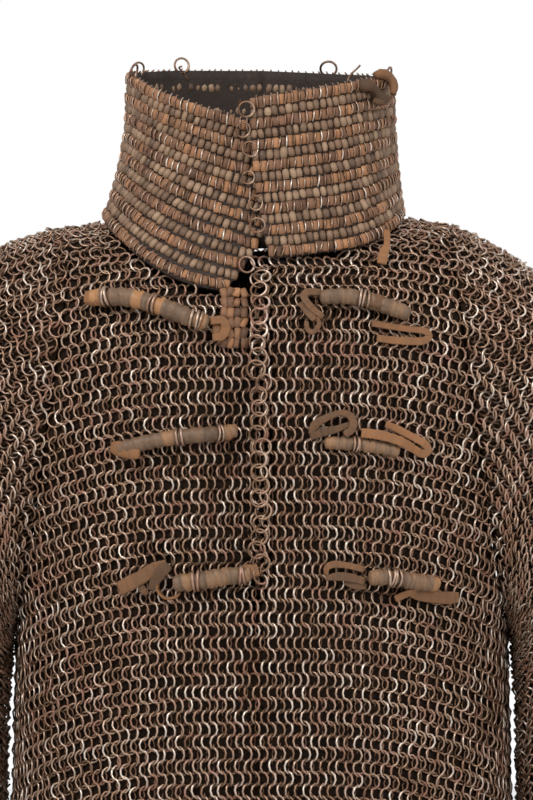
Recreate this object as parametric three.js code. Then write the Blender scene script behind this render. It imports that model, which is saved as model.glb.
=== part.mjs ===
// Chainmail hauberk: a short-sleeved mail shirt, worn on nobody, so every wall stands hollow in the
// form it takes on a general figure. Millimetres, +Z up, the front faces -Y and +X is the viewer's
// right. The origin is the middle of the neck opening, level with the foot of the collar.
import * as THREE from 'three';

// Driving sizes.
const MAIL_WALL = 4;          // thickness of the mail: crossing wires and the slant of the rings
const COLLAR_WALL = 5;        // rings with leather thongs laced between them
const SEAM = 0.3;             // gap between neighbouring pieces
const REST_GAP = 1;           // gap between a leather piece and the mail under it
const ROUND_OVER = 90;        // height over which the shoulder rounds over into the chest
const SHOULDER_X = 125;       // where the sleeve starts on the shoulder line
const ARMPIT = { x: 163, z: -262 };
const SLIT_FOOT = ARMPIT.z;   // the front is open above this height
const HEM_Z = -640;
const SLIT_X = -5;            // edge of the right front, which lies over the left one
const SLIT_LAP = 20;          // how far the left front runs on under the right one
const SLIT_SINK = 7;          // how far the left front lies behind there
const CHEST_POWER = 2.2;      // roundness of the level chest section

// Level sections of the body: half width, and depth of the front and of the back from the middle.
const BODY = [
  { z: -640, half: 178, front: 123, back: 112 },
  { z: -400, half: 166, front: 117, back: 105 },
  { z: -262, half: 163, front: 118, back: 105 },
  { z: -180, half: 175, front: 118, back: 106 },
  { z: -100, half: 186, front: 118, back: 108 },
  { z: 10, half: 190, front: 118, back: 108 },
];

// Height of the shoulder line, which slopes a little more on the right.
const SHOULDER = [
  { x: 0, left: 8, right: 8 },
  { x: 93, left: 5, right: 6 },
  { x: 105, left: 4, right: 5.5 },
  { x: 125, left: 1, right: 2 },
];

// Foot of the collar: half width, depth in front and behind, and how square its front is.
const NECK = {
  left: { half: 105, front: 108, back: 68, power: 2.5 },
  right: { half: 93, front: 85, back: 68, power: 3 },
};
const NECK_BACK_POWER = 2.2;

// Rim of the collar. The left flap lies inside the right one.
const RIM = {
  left: { half: 88, front: 70, back: 62 },
  right: { half: 86, front: 78, back: 62 },
};
const RIM_POWER = 2.3;
const COLLAR_FLARE = 2.2;     // the collar widens towards its foot along this power
const COLLAR_LIFT = 3.5;      // from the neck edge of the mail to the foot of the collar
const FLAP_PROUD = 10;        // how far the loose lower corner of the right flap stands off
const FLAP_DROP = 3;          // and how far it hangs down
const FLAP_CORNER = { left: { foot: -25, rim: 16 }, right: { foot: 5, rim: -8 } };
const RIM_HEIGHT = {
  left: [{ turn: -8, z: 62 }, { turn: 0, z: 70 }, { turn: 70, z: 101 }, { turn: 90, z: 105 },
    { turn: 140, z: 108 }, { turn: 180, z: 108 }],
  right: [{ turn: -6, z: 87 }, { turn: 50, z: 100 }, { turn: 90, z: 102 }, { turn: 180, z: 108 }],
};

// Sleeve rings from the armhole to the cuff: the outermost point, the innermost, and half the depth.
const SLEEVE = [
  { outX: 151, left: -4.5, right: -10, inX: 169.5, inZ: -263, depth: 75 },
  { outX: 180, left: -16, right: -28, inX: 170, inZ: -268, depth: 72 },
  { outX: 215, left: -44, right: -55, inX: 170.5, inZ: -275, depth: 69 },
  { outX: 245, left: -87, right: -96, inX: 171, inZ: -285, depth: 67 },
  { outX: 266, left: -147, right: -152, inX: 171.5, inZ: -298, depth: 66 },
  { outX: 280, left: -220, right: -222, inX: 172, inZ: -316, depth: 65 },
  { outX: 288, left: -300, right: -300, inX: 172.5, inZ: -344, depth: 65 },
  { outX: 293, left: -370, right: -370, inX: 173.5, inZ: -386, depth: 64 },
  { outX: 296, left: -420, right: -420, inX: 175, inZ: -420, depth: 64 },
];
const SLEEVE_BLEND = 3;       // rings over which the armhole's form turns into an ellipse
const SLEEVE_SIDES = 20;

// Rolls of leather and rings that are laced through the mail on each side of the slit.
const TIES = [
  { name: 'tie_left_top', radius: 6, route: [[-110, -50], [-90, -50], [-68, -55], [-38, -67]] },
  { name: 'tie_left_middle', radius: 5.5, route: [[-93, -146], [-66, -141], [-42, -138], [-16, -136]] },
  { name: 'tie_left_bottom', radius: 6, route: [[-57, -236], [-40, -235], [-22, -234], [-7, -233]] },
  { name: 'tie_right_top', radius: 5.5, route: [[38, -50], [56, -49.5], [74, -53], [96, -60]] },
  { name: 'tie_right_middle', radius: 4.5, route: [[41, -143], [58, -144], [74, -146], [89, -149]] },
  { name: 'tie_right_bottom', radius: 5.5, route: [[70, -234], [84, -233], [98, -234], [111, -236]] },
];

// Flat leather straps, folded over or left as a loop beside a roll: each route is a row of points
// on the chest, [x, z, height above the mail].
const STRAPS = [
  { name: 'knob_left_top', width: 11, thick: 8,
    route: [[-34, -68.5, 4.5], [-30.5, -70, 4.5], [-27, -72, 4.5]] },
  { name: 'loop_left_bottom', width: 9, thick: 5,
    route: [[-90, -240, 3], [-84, -237, 3], [-77, -233, 3], [-70, -230, 3], [-64.5, -228, 3]] },
  { name: 'loop_right_top', width: 6, thick: 4,
    route: [[31.5, -46, 3], [26, -50, 3], [26, -58, 3], [30, -66, 3], [35, -72, 3]] },
  { name: 'loop_right_middle', width: 5, thick: 3,
    route: [[55, -136, 2], [45, -136.5, 2], [34, -139, 2], [35, -133, 2], [44, -126, 2], [54, -123, 2],
      [60, -127, 2]] },
  { name: 'loop_right_bottom', width: 5, thick: 3,
    route: [[63, -236, 2], [54, -236.5, 2], [45, -234, 2], [43, -229, 2], [46, -224, 2], [55, -224, 2],
      [64, -226.5, 2]] },
  { name: 'strap_right_top', width: 5, thick: 2.4,
    route: [[72, -66, 2], [84, -68, 2], [96, -70, 2], [105, -71, 2], [109, -74, 2], [105, -77.5, 2],
      [95, -77.5, 2], [85, -77, 2], [76, -75.5, 2]] },
  { name: 'strap_right_middle', width: 6, thick: 2.4,
    route: [[64, -134, 2], [76, -136, 3], [88, -140, 4], [99, -146, 4], [106, -147, 2], [106, -140, 2],
      [98, -134, 2], [90, -130, 2], [82, -128, 2]] },
  { name: 'strap_right_bottom', width: 8, thick: 2.4,
    route: [[87, -245.5, 2], [95, -244.5, 2], [105, -246, 2], [116, -247, 2], [127, -247.5, 2]] },
  { name: 'tag_right', width: 7, thick: 2.4, route: [[82, -12, 7], [82, -19, 5], [81, -26, 3], [80, -32, 2]] },
];

// Looks of the solids.
const IRON = { color: 0x57473b, roughness: 0.6, metalness: 0.7 };
const LACED = { color: 0x6f5340, roughness: 0.75, metalness: 0.2 };
const LEATHER = { color: 0x8a5f3c, roughness: 0.8, metalness: 0 };

const radians = THREE.MathUtils.degToRad;
const { lerp, clamp } = THREE.MathUtils;
const smooth = (t) => THREE.MathUtils.smoothstep(t, 0, 1);

// Value of one column of a table, between its rows, which are in the order of the key column.
function lookUp(table, key, where, column) {
  const last = table.length - 1;
  const next = clamp(table.findIndex((row) => row[key] >= where), 1, last);
  const after = where > table[last][key] ? last : next;
  const [a, b] = [table[after - 1], table[after]];
  const share = clamp((where - a[key]) / (b[key] - a[key]), 0, 1);
  return lerp(a[column], b[column], share);
}

// Height of a rounded outline over its base: 1 in the middle, 0 at its ends.
const crown = (share, power) => Math.pow(Math.max(0, 1 - Math.pow(Math.abs(share), power)), 1 / power);

const sideOf = (x) => (x < 0 ? 'left' : 'right');
const ridge = (side, x) => lookUp(SHOULDER, 'x', Math.abs(x), side);

// The shoulder rounds over from the ridge like a quarter of a circle.
function roundOver(drop) {
  const share = clamp(drop / ROUND_OVER, 0, 1);
  return Math.sqrt(1 - (1 - share) ** 2);
}

// Depth of the body's surface from the middle plane.
function depthAt(face, side, x, z) {
  const half = lookUp(BODY, 'z', z, 'half');
  return lookUp(BODY, 'z', z, face) * crown(x / half, CHEST_POWER) * roundOver(ridge(side, x) - z);
}

// How far the left front has sunk behind the right one: nothing at the slit's foot or far from it.
function sink(side, x, z) {
  if (side === 'right') return 0;
  return SLIT_SINK * smooth((z - SLIT_FOOT) / 45) * smooth((x + 45) / 25);
}

// A point on the middle of the wall. The left front keeps its own form under the right one.
function onBody(face, side, x, z) {
  const depth = Math.max(depthAt(face, side, x, z), SEAM / 2);
  if (face === 'back') return new THREE.Vector3(x, depth, z);
  return new THREE.Vector3(x, Math.min(-depth + sink(side, x, z), -SEAM / 2), z);
}

// Outward direction of the front at a point.
function outOfFront(side, x, z) {
  const step = 1;
  const across = onBody('front', side, x + step, z).sub(onBody('front', side, x - step, z));
  const up = onBody('front', side, x, z + step).sub(onBody('front', side, x, z - step));
  return across.cross(up).normalize();
}

// Height of the neck edge: where the body's surface has the depth of the collar's foot.
function neckHeight(face, side, x) {
  const neck = NECK[side];
  const power = face === 'front' ? neck.power : NECK_BACK_POWER;
  const collarDepth = neck[face] * crown(x / neck.half, power);
  const share = collarDepth / (lookUp(BODY, 'z', 0, face) * crown(x / lookUp(BODY, 'z', 0, 'half'), CHEST_POWER));
  return ridge(side, x) - ROUND_OVER * (1 - Math.sqrt(1 - Math.min(share, 1) ** 2));
}

function topHeight(face, side, x) {
  return Math.abs(x) < NECK[side].half ? neckHeight(face, side, x) : ridge(side, x);
}

// The armhole lies in a slanting plane from the shoulder to the armpit.
function armholeX(side, z) {
  const top = ridge(side, SHOULDER_X);
  return lerp(ARMPIT.x, SHOULDER_X, clamp((z - ARMPIT.z) / (top - ARMPIT.z), 0, 1));
}

// Direction square to the armhole's plane, away from the body.
function armholeSquare(side) {
  const sign = side === 'left' ? -1 : 1;
  const drop = ridge(side, SHOULDER_X) - ARMPIT.z;
  return new THREE.Vector3(sign * drop, 0, ARMPIT.x - SHOULDER_X).normalize();
}

// Turns a grid of points on a wall's middle into one closed solid. A grid that wraps joins its last
// column to its first. flatAlong(i, j) lists the directions that the wall's end face stays square to.
function thickWall(grid, thickness, { wraps = false, flatAlong = () => [] } = {}) {
  const rows = grid.length;
  const columns = grid[0].length;
  const clampTo = (n, count) => clamp(n, 0, count - 1);
  const point = (i, j) => grid[clampTo(i, rows)][wraps ? (j + columns) % columns : clampTo(j, columns)];
  const positions = [];
  for (const sign of [1, -1]) {
    for (let i = 0; i < rows; i += 1) {
      for (let j = 0; j < columns; j += 1) {
        const across = point(i, j + 1).clone().sub(point(i, j - 1));
        const down = point(i + 1, j).clone().sub(point(i - 1, j));
        const out = down.cross(across).normalize();
        flatAlong(i, j).forEach((flat) => out.addScaledVector(flat, -out.dot(flat)).normalize());
        positions.push(...point(i, j).clone().addScaledVector(out, (sign * thickness) / 2).toArray());
      }
    }
  }
  const index = [];
  const layer = rows * columns;
  const at = (side, i, j) => side * layer + i * columns + (j % columns);
  const quad = (a, b, c, d) => index.push(a, b, c, a, c, d);
  const lastColumn = wraps ? columns : columns - 1;
  for (let i = 0; i < rows - 1; i += 1) {
    for (let j = 0; j < lastColumn; j += 1) {
      quad(at(0, i, j), at(0, i + 1, j), at(0, i + 1, j + 1), at(0, i, j + 1));
      quad(at(1, i, j), at(1, i, j + 1), at(1, i + 1, j + 1), at(1, i + 1, j));
    }
  }
  for (let j = 0; j < lastColumn; j += 1) {
    quad(at(0, 0, j), at(0, 0, j + 1), at(1, 0, j + 1), at(1, 0, j));
    quad(at(0, rows - 1, j + 1), at(0, rows - 1, j), at(1, rows - 1, j), at(1, rows - 1, j + 1));
  }
  for (let i = 0; i < rows - 1 && !wraps; i += 1) {
    quad(at(0, i + 1, 0), at(0, i, 0), at(1, i, 0), at(1, i + 1, 0));
    quad(at(0, i, columns - 1), at(0, i + 1, columns - 1), at(1, i + 1, columns - 1), at(1, i, columns - 1));
  }
  return closedGeometry(positions, index);
}

// Makes the geometry, with its faces pointing out whichever way the grid ran.
function closedGeometry(positions, index) {
  const corner = (n) => new THREE.Vector3().fromArray(positions, 3 * index[n]);
  let volume = 0;
  for (let n = 0; n < index.length; n += 3) volume += corner(n).dot(corner(n + 1).cross(corner(n + 2)));
  const outward = volume > 0 ? index : index.toReversed();
  const geometry = new THREE.BufferGeometry();
  geometry.setAttribute('position', new THREE.Float32BufferAttribute(positions, 3));
  geometry.setIndex(outward);
  geometry.computeVertexNormals();
  return geometry;
}

const hauberk = new THREE.Group();

function addPiece(name, geometry, look) {
  const mesh = new THREE.Mesh(geometry, new THREE.MeshStandardMaterial(look));
  mesh.name = name;
  hauberk.add(mesh);
}

// The body's panels. A column keeps its share of the way round from the middle to the armhole, and
// its top is where it meets the neck edge or the shoulder line.
const NECK_TURNS = [8, 22, 38, 55, 72, 90];       // degrees round the neck's quarter
const YOKE_ROWS = [0, 0.06, 0.14, 0.25, 0.38, 0.53, 0.69, 0.85, 1];
const SKIRT_ROWS = 6;
const ALONG_Y = new THREE.Vector3(0, 1, 0);
const ALONG_X = new THREE.Vector3(1, 0, 0);
const ALONG_Z = new THREE.Vector3(0, 0, 1);

// Where the left and the right front end at the slit.
function slitEdge(side, z) {
  if (side === 'right') return SLIT_X + SEAM / 2;
  const lap = z - SLIT_FOOT > 45 ? SLIT_LAP : 0;
  return SLIT_X - SEAM / 2 + lap;
}

// Angle of a place on the level section, from the middle towards the side.
const roundAt = (x, z) => Math.asin(clamp(x / lookUp(BODY, 'z', z, 'half'), -1, 1));

function panelPoint(face, side, share, z) {
  const sign = side === 'left' ? -1 : 1;
  const inner = face === 'front' ? slitEdge(side, z) : 0;
  const outer = z > ARMPIT.z ? sign * armholeX(side, z) : sign * lookUp(BODY, 'z', z, 'half');
  const x = lookUp(BODY, 'z', z, 'half') * Math.sin(lerp(roundAt(inner, z), roundAt(outer, z), share));
  return onBody(face, side, x, z);
}

// Height at which a column starts, found by halving.
function columnTop(face, side, share) {
  let [low, high] = [-100, 20];
  for (let n = 0; n < 40; n += 1) {
    const middle = (low + high) / 2;
    const x = panelPoint(face, side, share, middle).x;
    if (middle < topHeight(face, side, x)) low = middle;
    else high = middle;
  }
  return low;
}

// Shares of the columns: one of them passes the corner between the neck and the shoulder line.
function columnShares(face, side) {
  const sign = side === 'left' ? -1 : 1;
  const neck = NECK_TURNS.map((turn) => NECK[side].half * Math.sin(radians(turn)));
  const shoulder = [(NECK[side].half + SHOULDER_X) / 2, SHOULDER_X];
  const top = ridge(side, NECK[side].half);
  const inner = face === 'front' ? slitEdge(side, top) : 0;
  const start = roundAt(inner, top);
  const span = roundAt(sign * armholeX(side, top), top) - start;
  const shares = [...neck, ...shoulder].map((x) => clamp((roundAt(sign * x, top) - start) / span, 0, 1));
  shares[shares.length - 1] = 1;
  return [0, ...shares];
}

// One half of the front or of the back, as rows of points from the top to the hem.
function panelGrid(face, side) {
  const shares = columnShares(face, side);
  const tops = shares.map((share) => columnTop(face, side, share));
  const yoke = YOKE_ROWS.map((drop) => shares.map((share, j) =>
    panelPoint(face, side, share, lerp(tops[j], ARMPIT.z, drop))));
  const skirt = Array.from({ length: SKIRT_ROWS }, (_, n) => shares.map((share) =>
    panelPoint(face, side, share, lerp(ARMPIT.z, HEM_Z, (n + 1) / SKIRT_ROWS))));
  return [...yoke, ...skirt];
}

// Seams keep square end faces: the slit, the side seam, the shoulder line, the armhole and the hem.
// Low down, where the wall faces the sleeve, the armhole's end face follows the wall instead.
function panelFlats(grid, hasSlit) {
  const lastRow = grid.length - 1;
  const lastColumn = grid[0].length - 1;
  return (i, j) => {
    const side = sideOf(grid[i][j].x);
    const onArmhole = (j === lastColumn || (j === 0 && !hasSlit)) && i < YOKE_ROWS.length - 1;
    const onSideSeam = (j === lastColumn || j === 0) && i >= YOKE_ROWS.length - 1;
    const onShoulder = i === 0 && Math.abs(grid[i][j].x) > NECK[side].half - 0.5;
    const flats = [];
    if (hasSlit && j === 0) return [ALONG_X];
    if (onSideSeam || onShoulder) flats.push(ALONG_Y);
    if (i === lastRow) flats.push(ALONG_Z);
    if (onArmhole && YOKE_ROWS[i] < 0.7) flats.push(armholeSquare(side));
    return flats;
  };
}

function addFront(side) {
  const grid = panelGrid('front', side);
  addPiece(`front_${side}`, thickWall(grid, MAIL_WALL, { flatAlong: panelFlats(grid, true) }), IRON);
}

function addBack() {
  const left = panelGrid('back', 'left');
  const right = panelGrid('back', 'right');
  const grid = right.map((row, i) => [...left[i].slice(1).reverse(), ...row]);
  addPiece('back', thickWall(grid, MAIL_WALL, { flatAlong: panelFlats(grid, false) }), IRON);
}

// A sleeve: rings of points from the armhole to the cuff. The first ring is the armhole itself,
// moved off the body's wall, which is widest in this direction where the wall faces sideways.
function armholeRing(side) {
  const sign = side === 'left' ? -1 : 1;
  const top = ridge(side, SHOULDER_X);
  const square = armholeSquare(side);
  const points = Array.from({ length: SLEEVE_SIDES }, (_, n) => {
    const turn = (2 * Math.PI * n) / SLEEVE_SIDES;
    const share = (1 - Math.cos(turn)) / 2;
    const z = lerp(top, ARMPIT.z, share);
    const x = sign * lerp(SHOULDER_X, ARMPIT.x, share);
    const face = Math.sin(turn) > 0 ? 'front' : 'back';
    const depth = depthAt(face, side, x, z);
    const clear = SEAM + (MAIL_WALL / 2) * smooth(2 * share - 0.9);
    return new THREE.Vector3(x, face === 'front' ? -depth : depth, z).addScaledVector(square, clear);
  });
  return { points, square };
}

function sleeveRing(side, row, level, armhole) {
  const sign = side === 'left' ? -1 : 1;
  const blend = clamp((level + 1) / SLEEVE_BLEND, 0, 1);
  return armhole.points.map((start, n) => {
    const turn = (2 * Math.PI * n) / SLEEVE_SIDES;
    const share = (1 - Math.cos(turn)) / 2;
    const round = -row.depth * Math.sin(turn);
    return new THREE.Vector3(sign * lerp(row.outX, row.inX, share), lerp(start.y, round, blend),
      lerp(row[side], row.inZ, share));
  });
}

function addSleeve(side) {
  const armhole = armholeRing(side);
  const grid = [armhole.points, ...SLEEVE.map((row, level) => sleeveRing(side, row, level, armhole))];
  const flatAlong = (i) => {
    if (i === 0) return [armhole.square];
    return i === grid.length - 1 ? [ALONG_Z] : [];
  };
  addPiece(`sleeve_${side}`, thickWall(grid, MAIL_WALL, { wraps: true, flatAlong }), IRON);
}

// The collar stands on the neck edge, in two halves from the seam behind to the flap in front.
const COLLAR_TURNS = [0, 12, 24, 36, 48, 60, 71, 81, 90, 99, 109, 120, 132, 144, 156, 168, 180];
const COLLAR_ROWS = 6;

// x and y on the foot or the rim of the collar, turn degrees from the front.
function aroundNeck(side, ring, turn, frontPower) {
  const sign = side === 'left' ? -1 : 1;
  const x = ring.half * Math.sin(radians(turn));
  const isFront = turn < 90;
  const depth = ring[isFront ? 'front' : 'back'];
  const y = depth * crown(x / ring.half, isFront ? frontPower : NECK_BACK_POWER);
  return { x: sign * x, y: isFront ? -y : y };
}

function collarPoint(side, share, rise) {
  const sign = side === 'left' ? -1 : 1;
  const corner = FLAP_CORNER[side];
  const turnOf = (x, half) => THREE.MathUtils.radToDeg(Math.asin((sign * x) / half));
  const footTurn = lerp(turnOf(corner.foot, NECK[side].half), 180, share);
  const rimTurn = lerp(turnOf(corner.rim, RIM[side].half), 180, share);
  const foot = aroundNeck(side, NECK[side], footTurn, NECK[side].power);
  const rim = aroundNeck(side, RIM[side], rimTurn, RIM_POWER);
  const footFace = footTurn < 90 ? 'front' : 'back';
  let footZ = neckHeight(footFace, side, foot.x) + COLLAR_LIFT;
  if (side === 'left' && footTurn < 90) foot.y = onBody('front', side, foot.x, footZ - COLLAR_LIFT).y;
  if (side === 'right' && footTurn < 90) {
    const loose = smooth((45 - foot.x) / 35);
    foot.y -= FLAP_PROUD * loose;
    footZ -= FLAP_DROP * loose;
  }
  const flare = (1 - rise) ** COLLAR_FLARE;
  const rimZ = lookUp(RIM_HEIGHT[side], 'turn', rimTurn, 'z');
  const seamGap = share === 1 ? (sign * SEAM) / 2 : 0;
  return new THREE.Vector3(lerp(rim.x, foot.x, flare) + seamGap, lerp(rim.y, foot.y, flare),
    lerp(footZ, rimZ, rise));
}

function addCollar(side) {
  const shares = COLLAR_TURNS.map((turn) => turn / 180);
  const grid = Array.from({ length: COLLAR_ROWS + 1 }, (_, i) =>
    shares.map((share) => collarPoint(side, share, 1 - i / COLLAR_ROWS)));
  const flatAlong = (i, j) => (j === shares.length - 1 ? [ALONG_X] : []);
  addPiece(`collar_${side}`, thickWall(grid, COLLAR_WALL, { flatAlong }), LACED);
}

// A bar along points, with a frame for each: its section is a closed loop of [across, out] pairs.
function bar(stations, section) {
  const positions = [];
  const index = [];
  const sides = section.length;
  stations.forEach(({ place, across, out, scale }) => section.forEach(([a, b]) => {
    const point = place.clone().addScaledVector(across, a * scale).addScaledVector(out, b * scale);
    positions.push(...point.toArray());
  }));
  for (let i = 0; i < stations.length - 1; i += 1) {
    for (let j = 0; j < sides; j += 1) {
      const [a, b] = [i * sides + j, i * sides + ((j + 1) % sides)];
      index.push(a, b, b + sides, a, b + sides, a + sides);
    }
  }
  const end = (stations.length - 1) * sides;
  for (let j = 1; j < sides - 1; j += 1) index.push(0, j + 1, j, end, end + j, end + j + 1);
  return closedGeometry(positions, index);
}

// Places along a smooth curve on the chest, each with the directions across it and out of the mail.
function chestStations(route, height, steps, scaleAt) {
  const knots = route.map(([x, z, lift = 0]) => new THREE.Vector3(x, lift, z));
  const curve = new THREE.CatmullRomCurve3(knots, false, 'centripetal');
  const places = curve.getSpacedPoints(steps).map(({ x, y: lift, z }) => {
    const out = outOfFront(sideOf(x), x, z);
    return { out, place: onBody('front', sideOf(x), x, z).addScaledVector(out, height + lift) };
  });
  return places.map(({ place, out }, n) => {
    const before = places[Math.max(n - 1, 0)].place;
    const after = places[Math.min(n + 1, steps)].place;
    const across = after.clone().sub(before).cross(out).normalize();
    return { place, out, across, scale: scaleAt(n / steps) };
  });
}

const ROLL_SIDES = 10;
const ROLL_STEPS = 10;

function addTie({ name, radius, route }) {
  const section = Array.from({ length: ROLL_SIDES }, (_, n) => {
    const turn = (2 * Math.PI * n) / ROLL_SIDES;
    return [radius * Math.cos(turn), radius * Math.sin(turn)];
  });
  const height = MAIL_WALL / 2 + REST_GAP + radius;
  const endsTaper = (t) => 0.55 + 0.45 * crown(2 * t - 1, 5);
  addPiece(name, bar(chestStations(route, height, ROLL_STEPS, endsTaper), section), LEATHER);
}

const STRAP_STEPS_PER_KNOT = 2;

function addStrap({ name, width, thick, route }) {
  const [w, t] = [width / 2, thick / 2];
  const section = [[w, t], [-w, t], [-w, -t], [w, -t]];
  const steps = (route.length - 1) * STRAP_STEPS_PER_KNOT;
  const stations = chestStations(route, MAIL_WALL / 2 + REST_GAP, steps, () => 1);
  addPiece(name, bar(stations, section), LEATHER);
}

// A knotted thong on the outer face of the collar, at the top of its right side.
function addCollarKnot() {
  const knot = { turn: 60, rise: 0.86, length: 22, width: 15, thick: 7 };
  const share = (turn) => turn / 180;
  const place = collarPoint('right', share(knot.turn), knot.rise);
  const across = collarPoint('right', share(knot.turn + 4), knot.rise).sub(place).normalize();
  const up = collarPoint('right', share(knot.turn), knot.rise + 0.05).sub(place).normalize();
  const out = across.clone().cross(up).normalize();
  place.addScaledVector(out, COLLAR_WALL / 2 + REST_GAP + knot.thick / 2);
  const ball = new THREE.IcosahedronGeometry(0.5, 1);
  ball.deleteAttribute('normal');
  ball.deleteAttribute('uv');
  const scale = new THREE.Matrix4().makeScale(knot.length, knot.width, knot.thick);
  ball.applyMatrix4(scale).applyMatrix4(new THREE.Matrix4().makeBasis(across, up, out).setPosition(place));
  ball.computeVertexNormals();
  addPiece('knot_collar', ball, LEATHER);
}

for (const side of ['left', 'right']) {
  addFront(side);
  addSleeve(side);
  addCollar(side);
}
addBack();
TIES.forEach(addTie);
STRAPS.forEach(addStrap);
addCollarKnot();

export default hauberk;
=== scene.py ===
# %% [markdown]
# # A mail shirt with a laced collar
# A hauberk is a shirt of iron rings, each one linked through four others. This one has a standing
# collar that is laced stiff with leather, a slit down its upper front, and leather ties beside the
# slit. It stands here as if worn, with nobody in it.
#
# Every size below is in millimetres, as a maker would write it, and turns into metres when a mesh
# is made. The solids that the shirt is packed with give the form, and this script dresses them.

import bpy
import numpy as np
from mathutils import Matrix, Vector


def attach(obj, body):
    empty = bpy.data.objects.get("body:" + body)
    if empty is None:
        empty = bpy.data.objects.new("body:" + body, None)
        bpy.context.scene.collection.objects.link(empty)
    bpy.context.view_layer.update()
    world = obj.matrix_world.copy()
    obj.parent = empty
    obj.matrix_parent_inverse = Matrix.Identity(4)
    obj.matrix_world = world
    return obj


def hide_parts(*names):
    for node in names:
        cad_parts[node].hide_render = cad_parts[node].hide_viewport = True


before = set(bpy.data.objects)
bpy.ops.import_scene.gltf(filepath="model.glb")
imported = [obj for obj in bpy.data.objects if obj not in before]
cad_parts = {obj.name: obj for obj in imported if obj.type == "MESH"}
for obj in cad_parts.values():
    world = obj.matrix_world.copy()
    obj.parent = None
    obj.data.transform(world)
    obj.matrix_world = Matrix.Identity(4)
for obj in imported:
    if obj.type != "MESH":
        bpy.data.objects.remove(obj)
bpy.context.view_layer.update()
METRE = 0.001  # one millimetre
rng = np.random.default_rng(7)

# %% [markdown]
# ## Camera
# The camera comes first, because everything is judged through it. It stands level in front of the
# chest, twelve metres away, and a very long lens takes in the collar, the chest and the
# shoulders. The rest of the shirt runs on below the frame.

# %% Camera
CAMERA_DISTANCE = 12000.0     # from the front of the chest
CHEST_FRONT_Y = -118.0
VIEW_CENTRE = (3.0, -114.7)   # x and z
VIEW_HEIGHT = 533.3
SENSOR = 36.0

camera_data = bpy.data.cameras.new("camera")
camera = bpy.data.objects.new("camera", camera_data)
bpy.context.scene.collection.objects.link(camera)
camera_data.sensor_width = SENSOR
camera_data.lens = SENSOR * CAMERA_DISTANCE / VIEW_HEIGHT
camera_data.clip_start = 0.05
camera.location = Vector((VIEW_CENTRE[0], CHEST_FRONT_Y - CAMERA_DISTANCE, VIEW_CENTRE[1])) * METRE
camera.rotation_euler = (np.pi / 2, 0, 0)
bpy.context.scene.camera = camera
print("lens", round(camera_data.lens, 1), "mm")

# %% [markdown]
# ## The form of the shirt
# These are the driving sizes of the solids, repeated here so that rings can be laid on the same
# surface: level sections of the body, the shoulder line, the neck, the collar and the sleeves.

# %% Sizes of the body
MAIL_WALL = 4.0
ROUND_OVER = 90.0             # height over which the shoulder rounds over into the chest
SHOULDER_X = 125.0
ARMPIT_X, ARMPIT_Z = 163.0, -262.0
HEM_Z = -640.0
SLIT_X = -5.0
SLIT_LAP = 20.0
SLIT_SINK = 7.0
CHEST_POWER = 2.2
LEFT, RIGHT = -1, 1

BODY_Z = [-640, -400, -262, -180, -100, 10]
BODY_HALF = [178, 166, 163, 175, 186, 190]
BODY_DEPTH = {"front": [123, 117, 118, 118, 118, 118], "back": [112, 105, 105, 106, 108, 108]}
SHOULDER_LINE_X = [0, 93, 105, 125]
SHOULDER_LINE = {LEFT: [8, 5, 4, 1], RIGHT: [8, 6, 5.5, 2]}
NECK = {LEFT: dict(half=105, front=108, back=68, power=2.5),
        RIGHT: dict(half=93, front=85, back=68, power=3)}
NECK_BACK_POWER = 2.2


def smooth(t):
    t = np.clip(t, 0, 1)
    return t * t * (3 - 2 * t)


def lerp(a, b, t):
    return a + (b - a) * t


def crown(share, power):
    """Height of a rounded outline over its base: 1 in the middle, 0 at its ends."""
    return np.maximum(0, 1 - np.abs(share) ** power) ** (1 / power)


def body_half(z):
    return np.interp(z, BODY_Z, BODY_HALF)


def ridge(x):
    """Height of the shoulder line."""
    left, right = (np.interp(np.abs(x), SHOULDER_LINE_X, SHOULDER_LINE[s]) for s in (LEFT, RIGHT))
    return np.where(np.asarray(x) < 0, left, right)


def depth_at(face, x, z):
    """Depth of the body's surface from the middle plane."""
    over = np.clip((ridge(x) - z) / ROUND_OVER, 0, 1)
    deep = np.interp(z, BODY_Z, BODY_DEPTH[face])
    return deep * crown(x / body_half(z), CHEST_POWER) * np.sqrt(1 - (1 - over) ** 2)


def neck_height(face, side, x):
    """Height of the neck edge: where the body has the depth of the collar's foot."""
    neck = NECK[side]
    power = neck["power"] if face == "front" else NECK_BACK_POWER
    deep = BODY_DEPTH[face][-1] * crown(x / 190.0, CHEST_POWER)
    share = np.minimum(neck[face] * crown(x / neck["half"], power) / deep, 1)
    return ridge(x) - ROUND_OVER * (1 - np.sqrt(1 - share ** 2))


def armhole_x(z):
    """The armhole lies in a slanting plane from the shoulder to the armpit."""
    return np.interp(z, [ARMPIT_Z, 1.5], [ARMPIT_X, SHOULDER_X])


def left_sink(x, z):
    """How far the left front lies behind the right one beside the slit."""
    return SLIT_SINK * smooth((z - ARMPIT_Z) / 45) * smooth((x + 45) / 25)


print("front is", BODY_DEPTH["front"][2] + BODY_DEPTH["back"][2], "mm from back")

# %% [markdown]
# ## Laying rings on a surface
# In mail each row of rings leans one way and the next row the other, and every ring hangs half a
# pitch beside the two above it. So a ring needs a place, the direction along its row, the
# direction down its column, and its lean. The next cell turns those into rings.
#
# Thousands of equal rings are a job for Geometry Nodes: a point mesh says where each ring sits, how
# it is turned and how big it is, and the tree puts a ring on every point, makes them real and gives
# them their material. The ring is modelled once, with a thicker lap where it was riveted.

# %% A ring
RING_RADIUS = 5.25            # of the wire's centre line
WIRE_RADIUS = 0.78
RIVET_SWELL = 0.3             # how much thicker the wire is at its rivet


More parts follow.
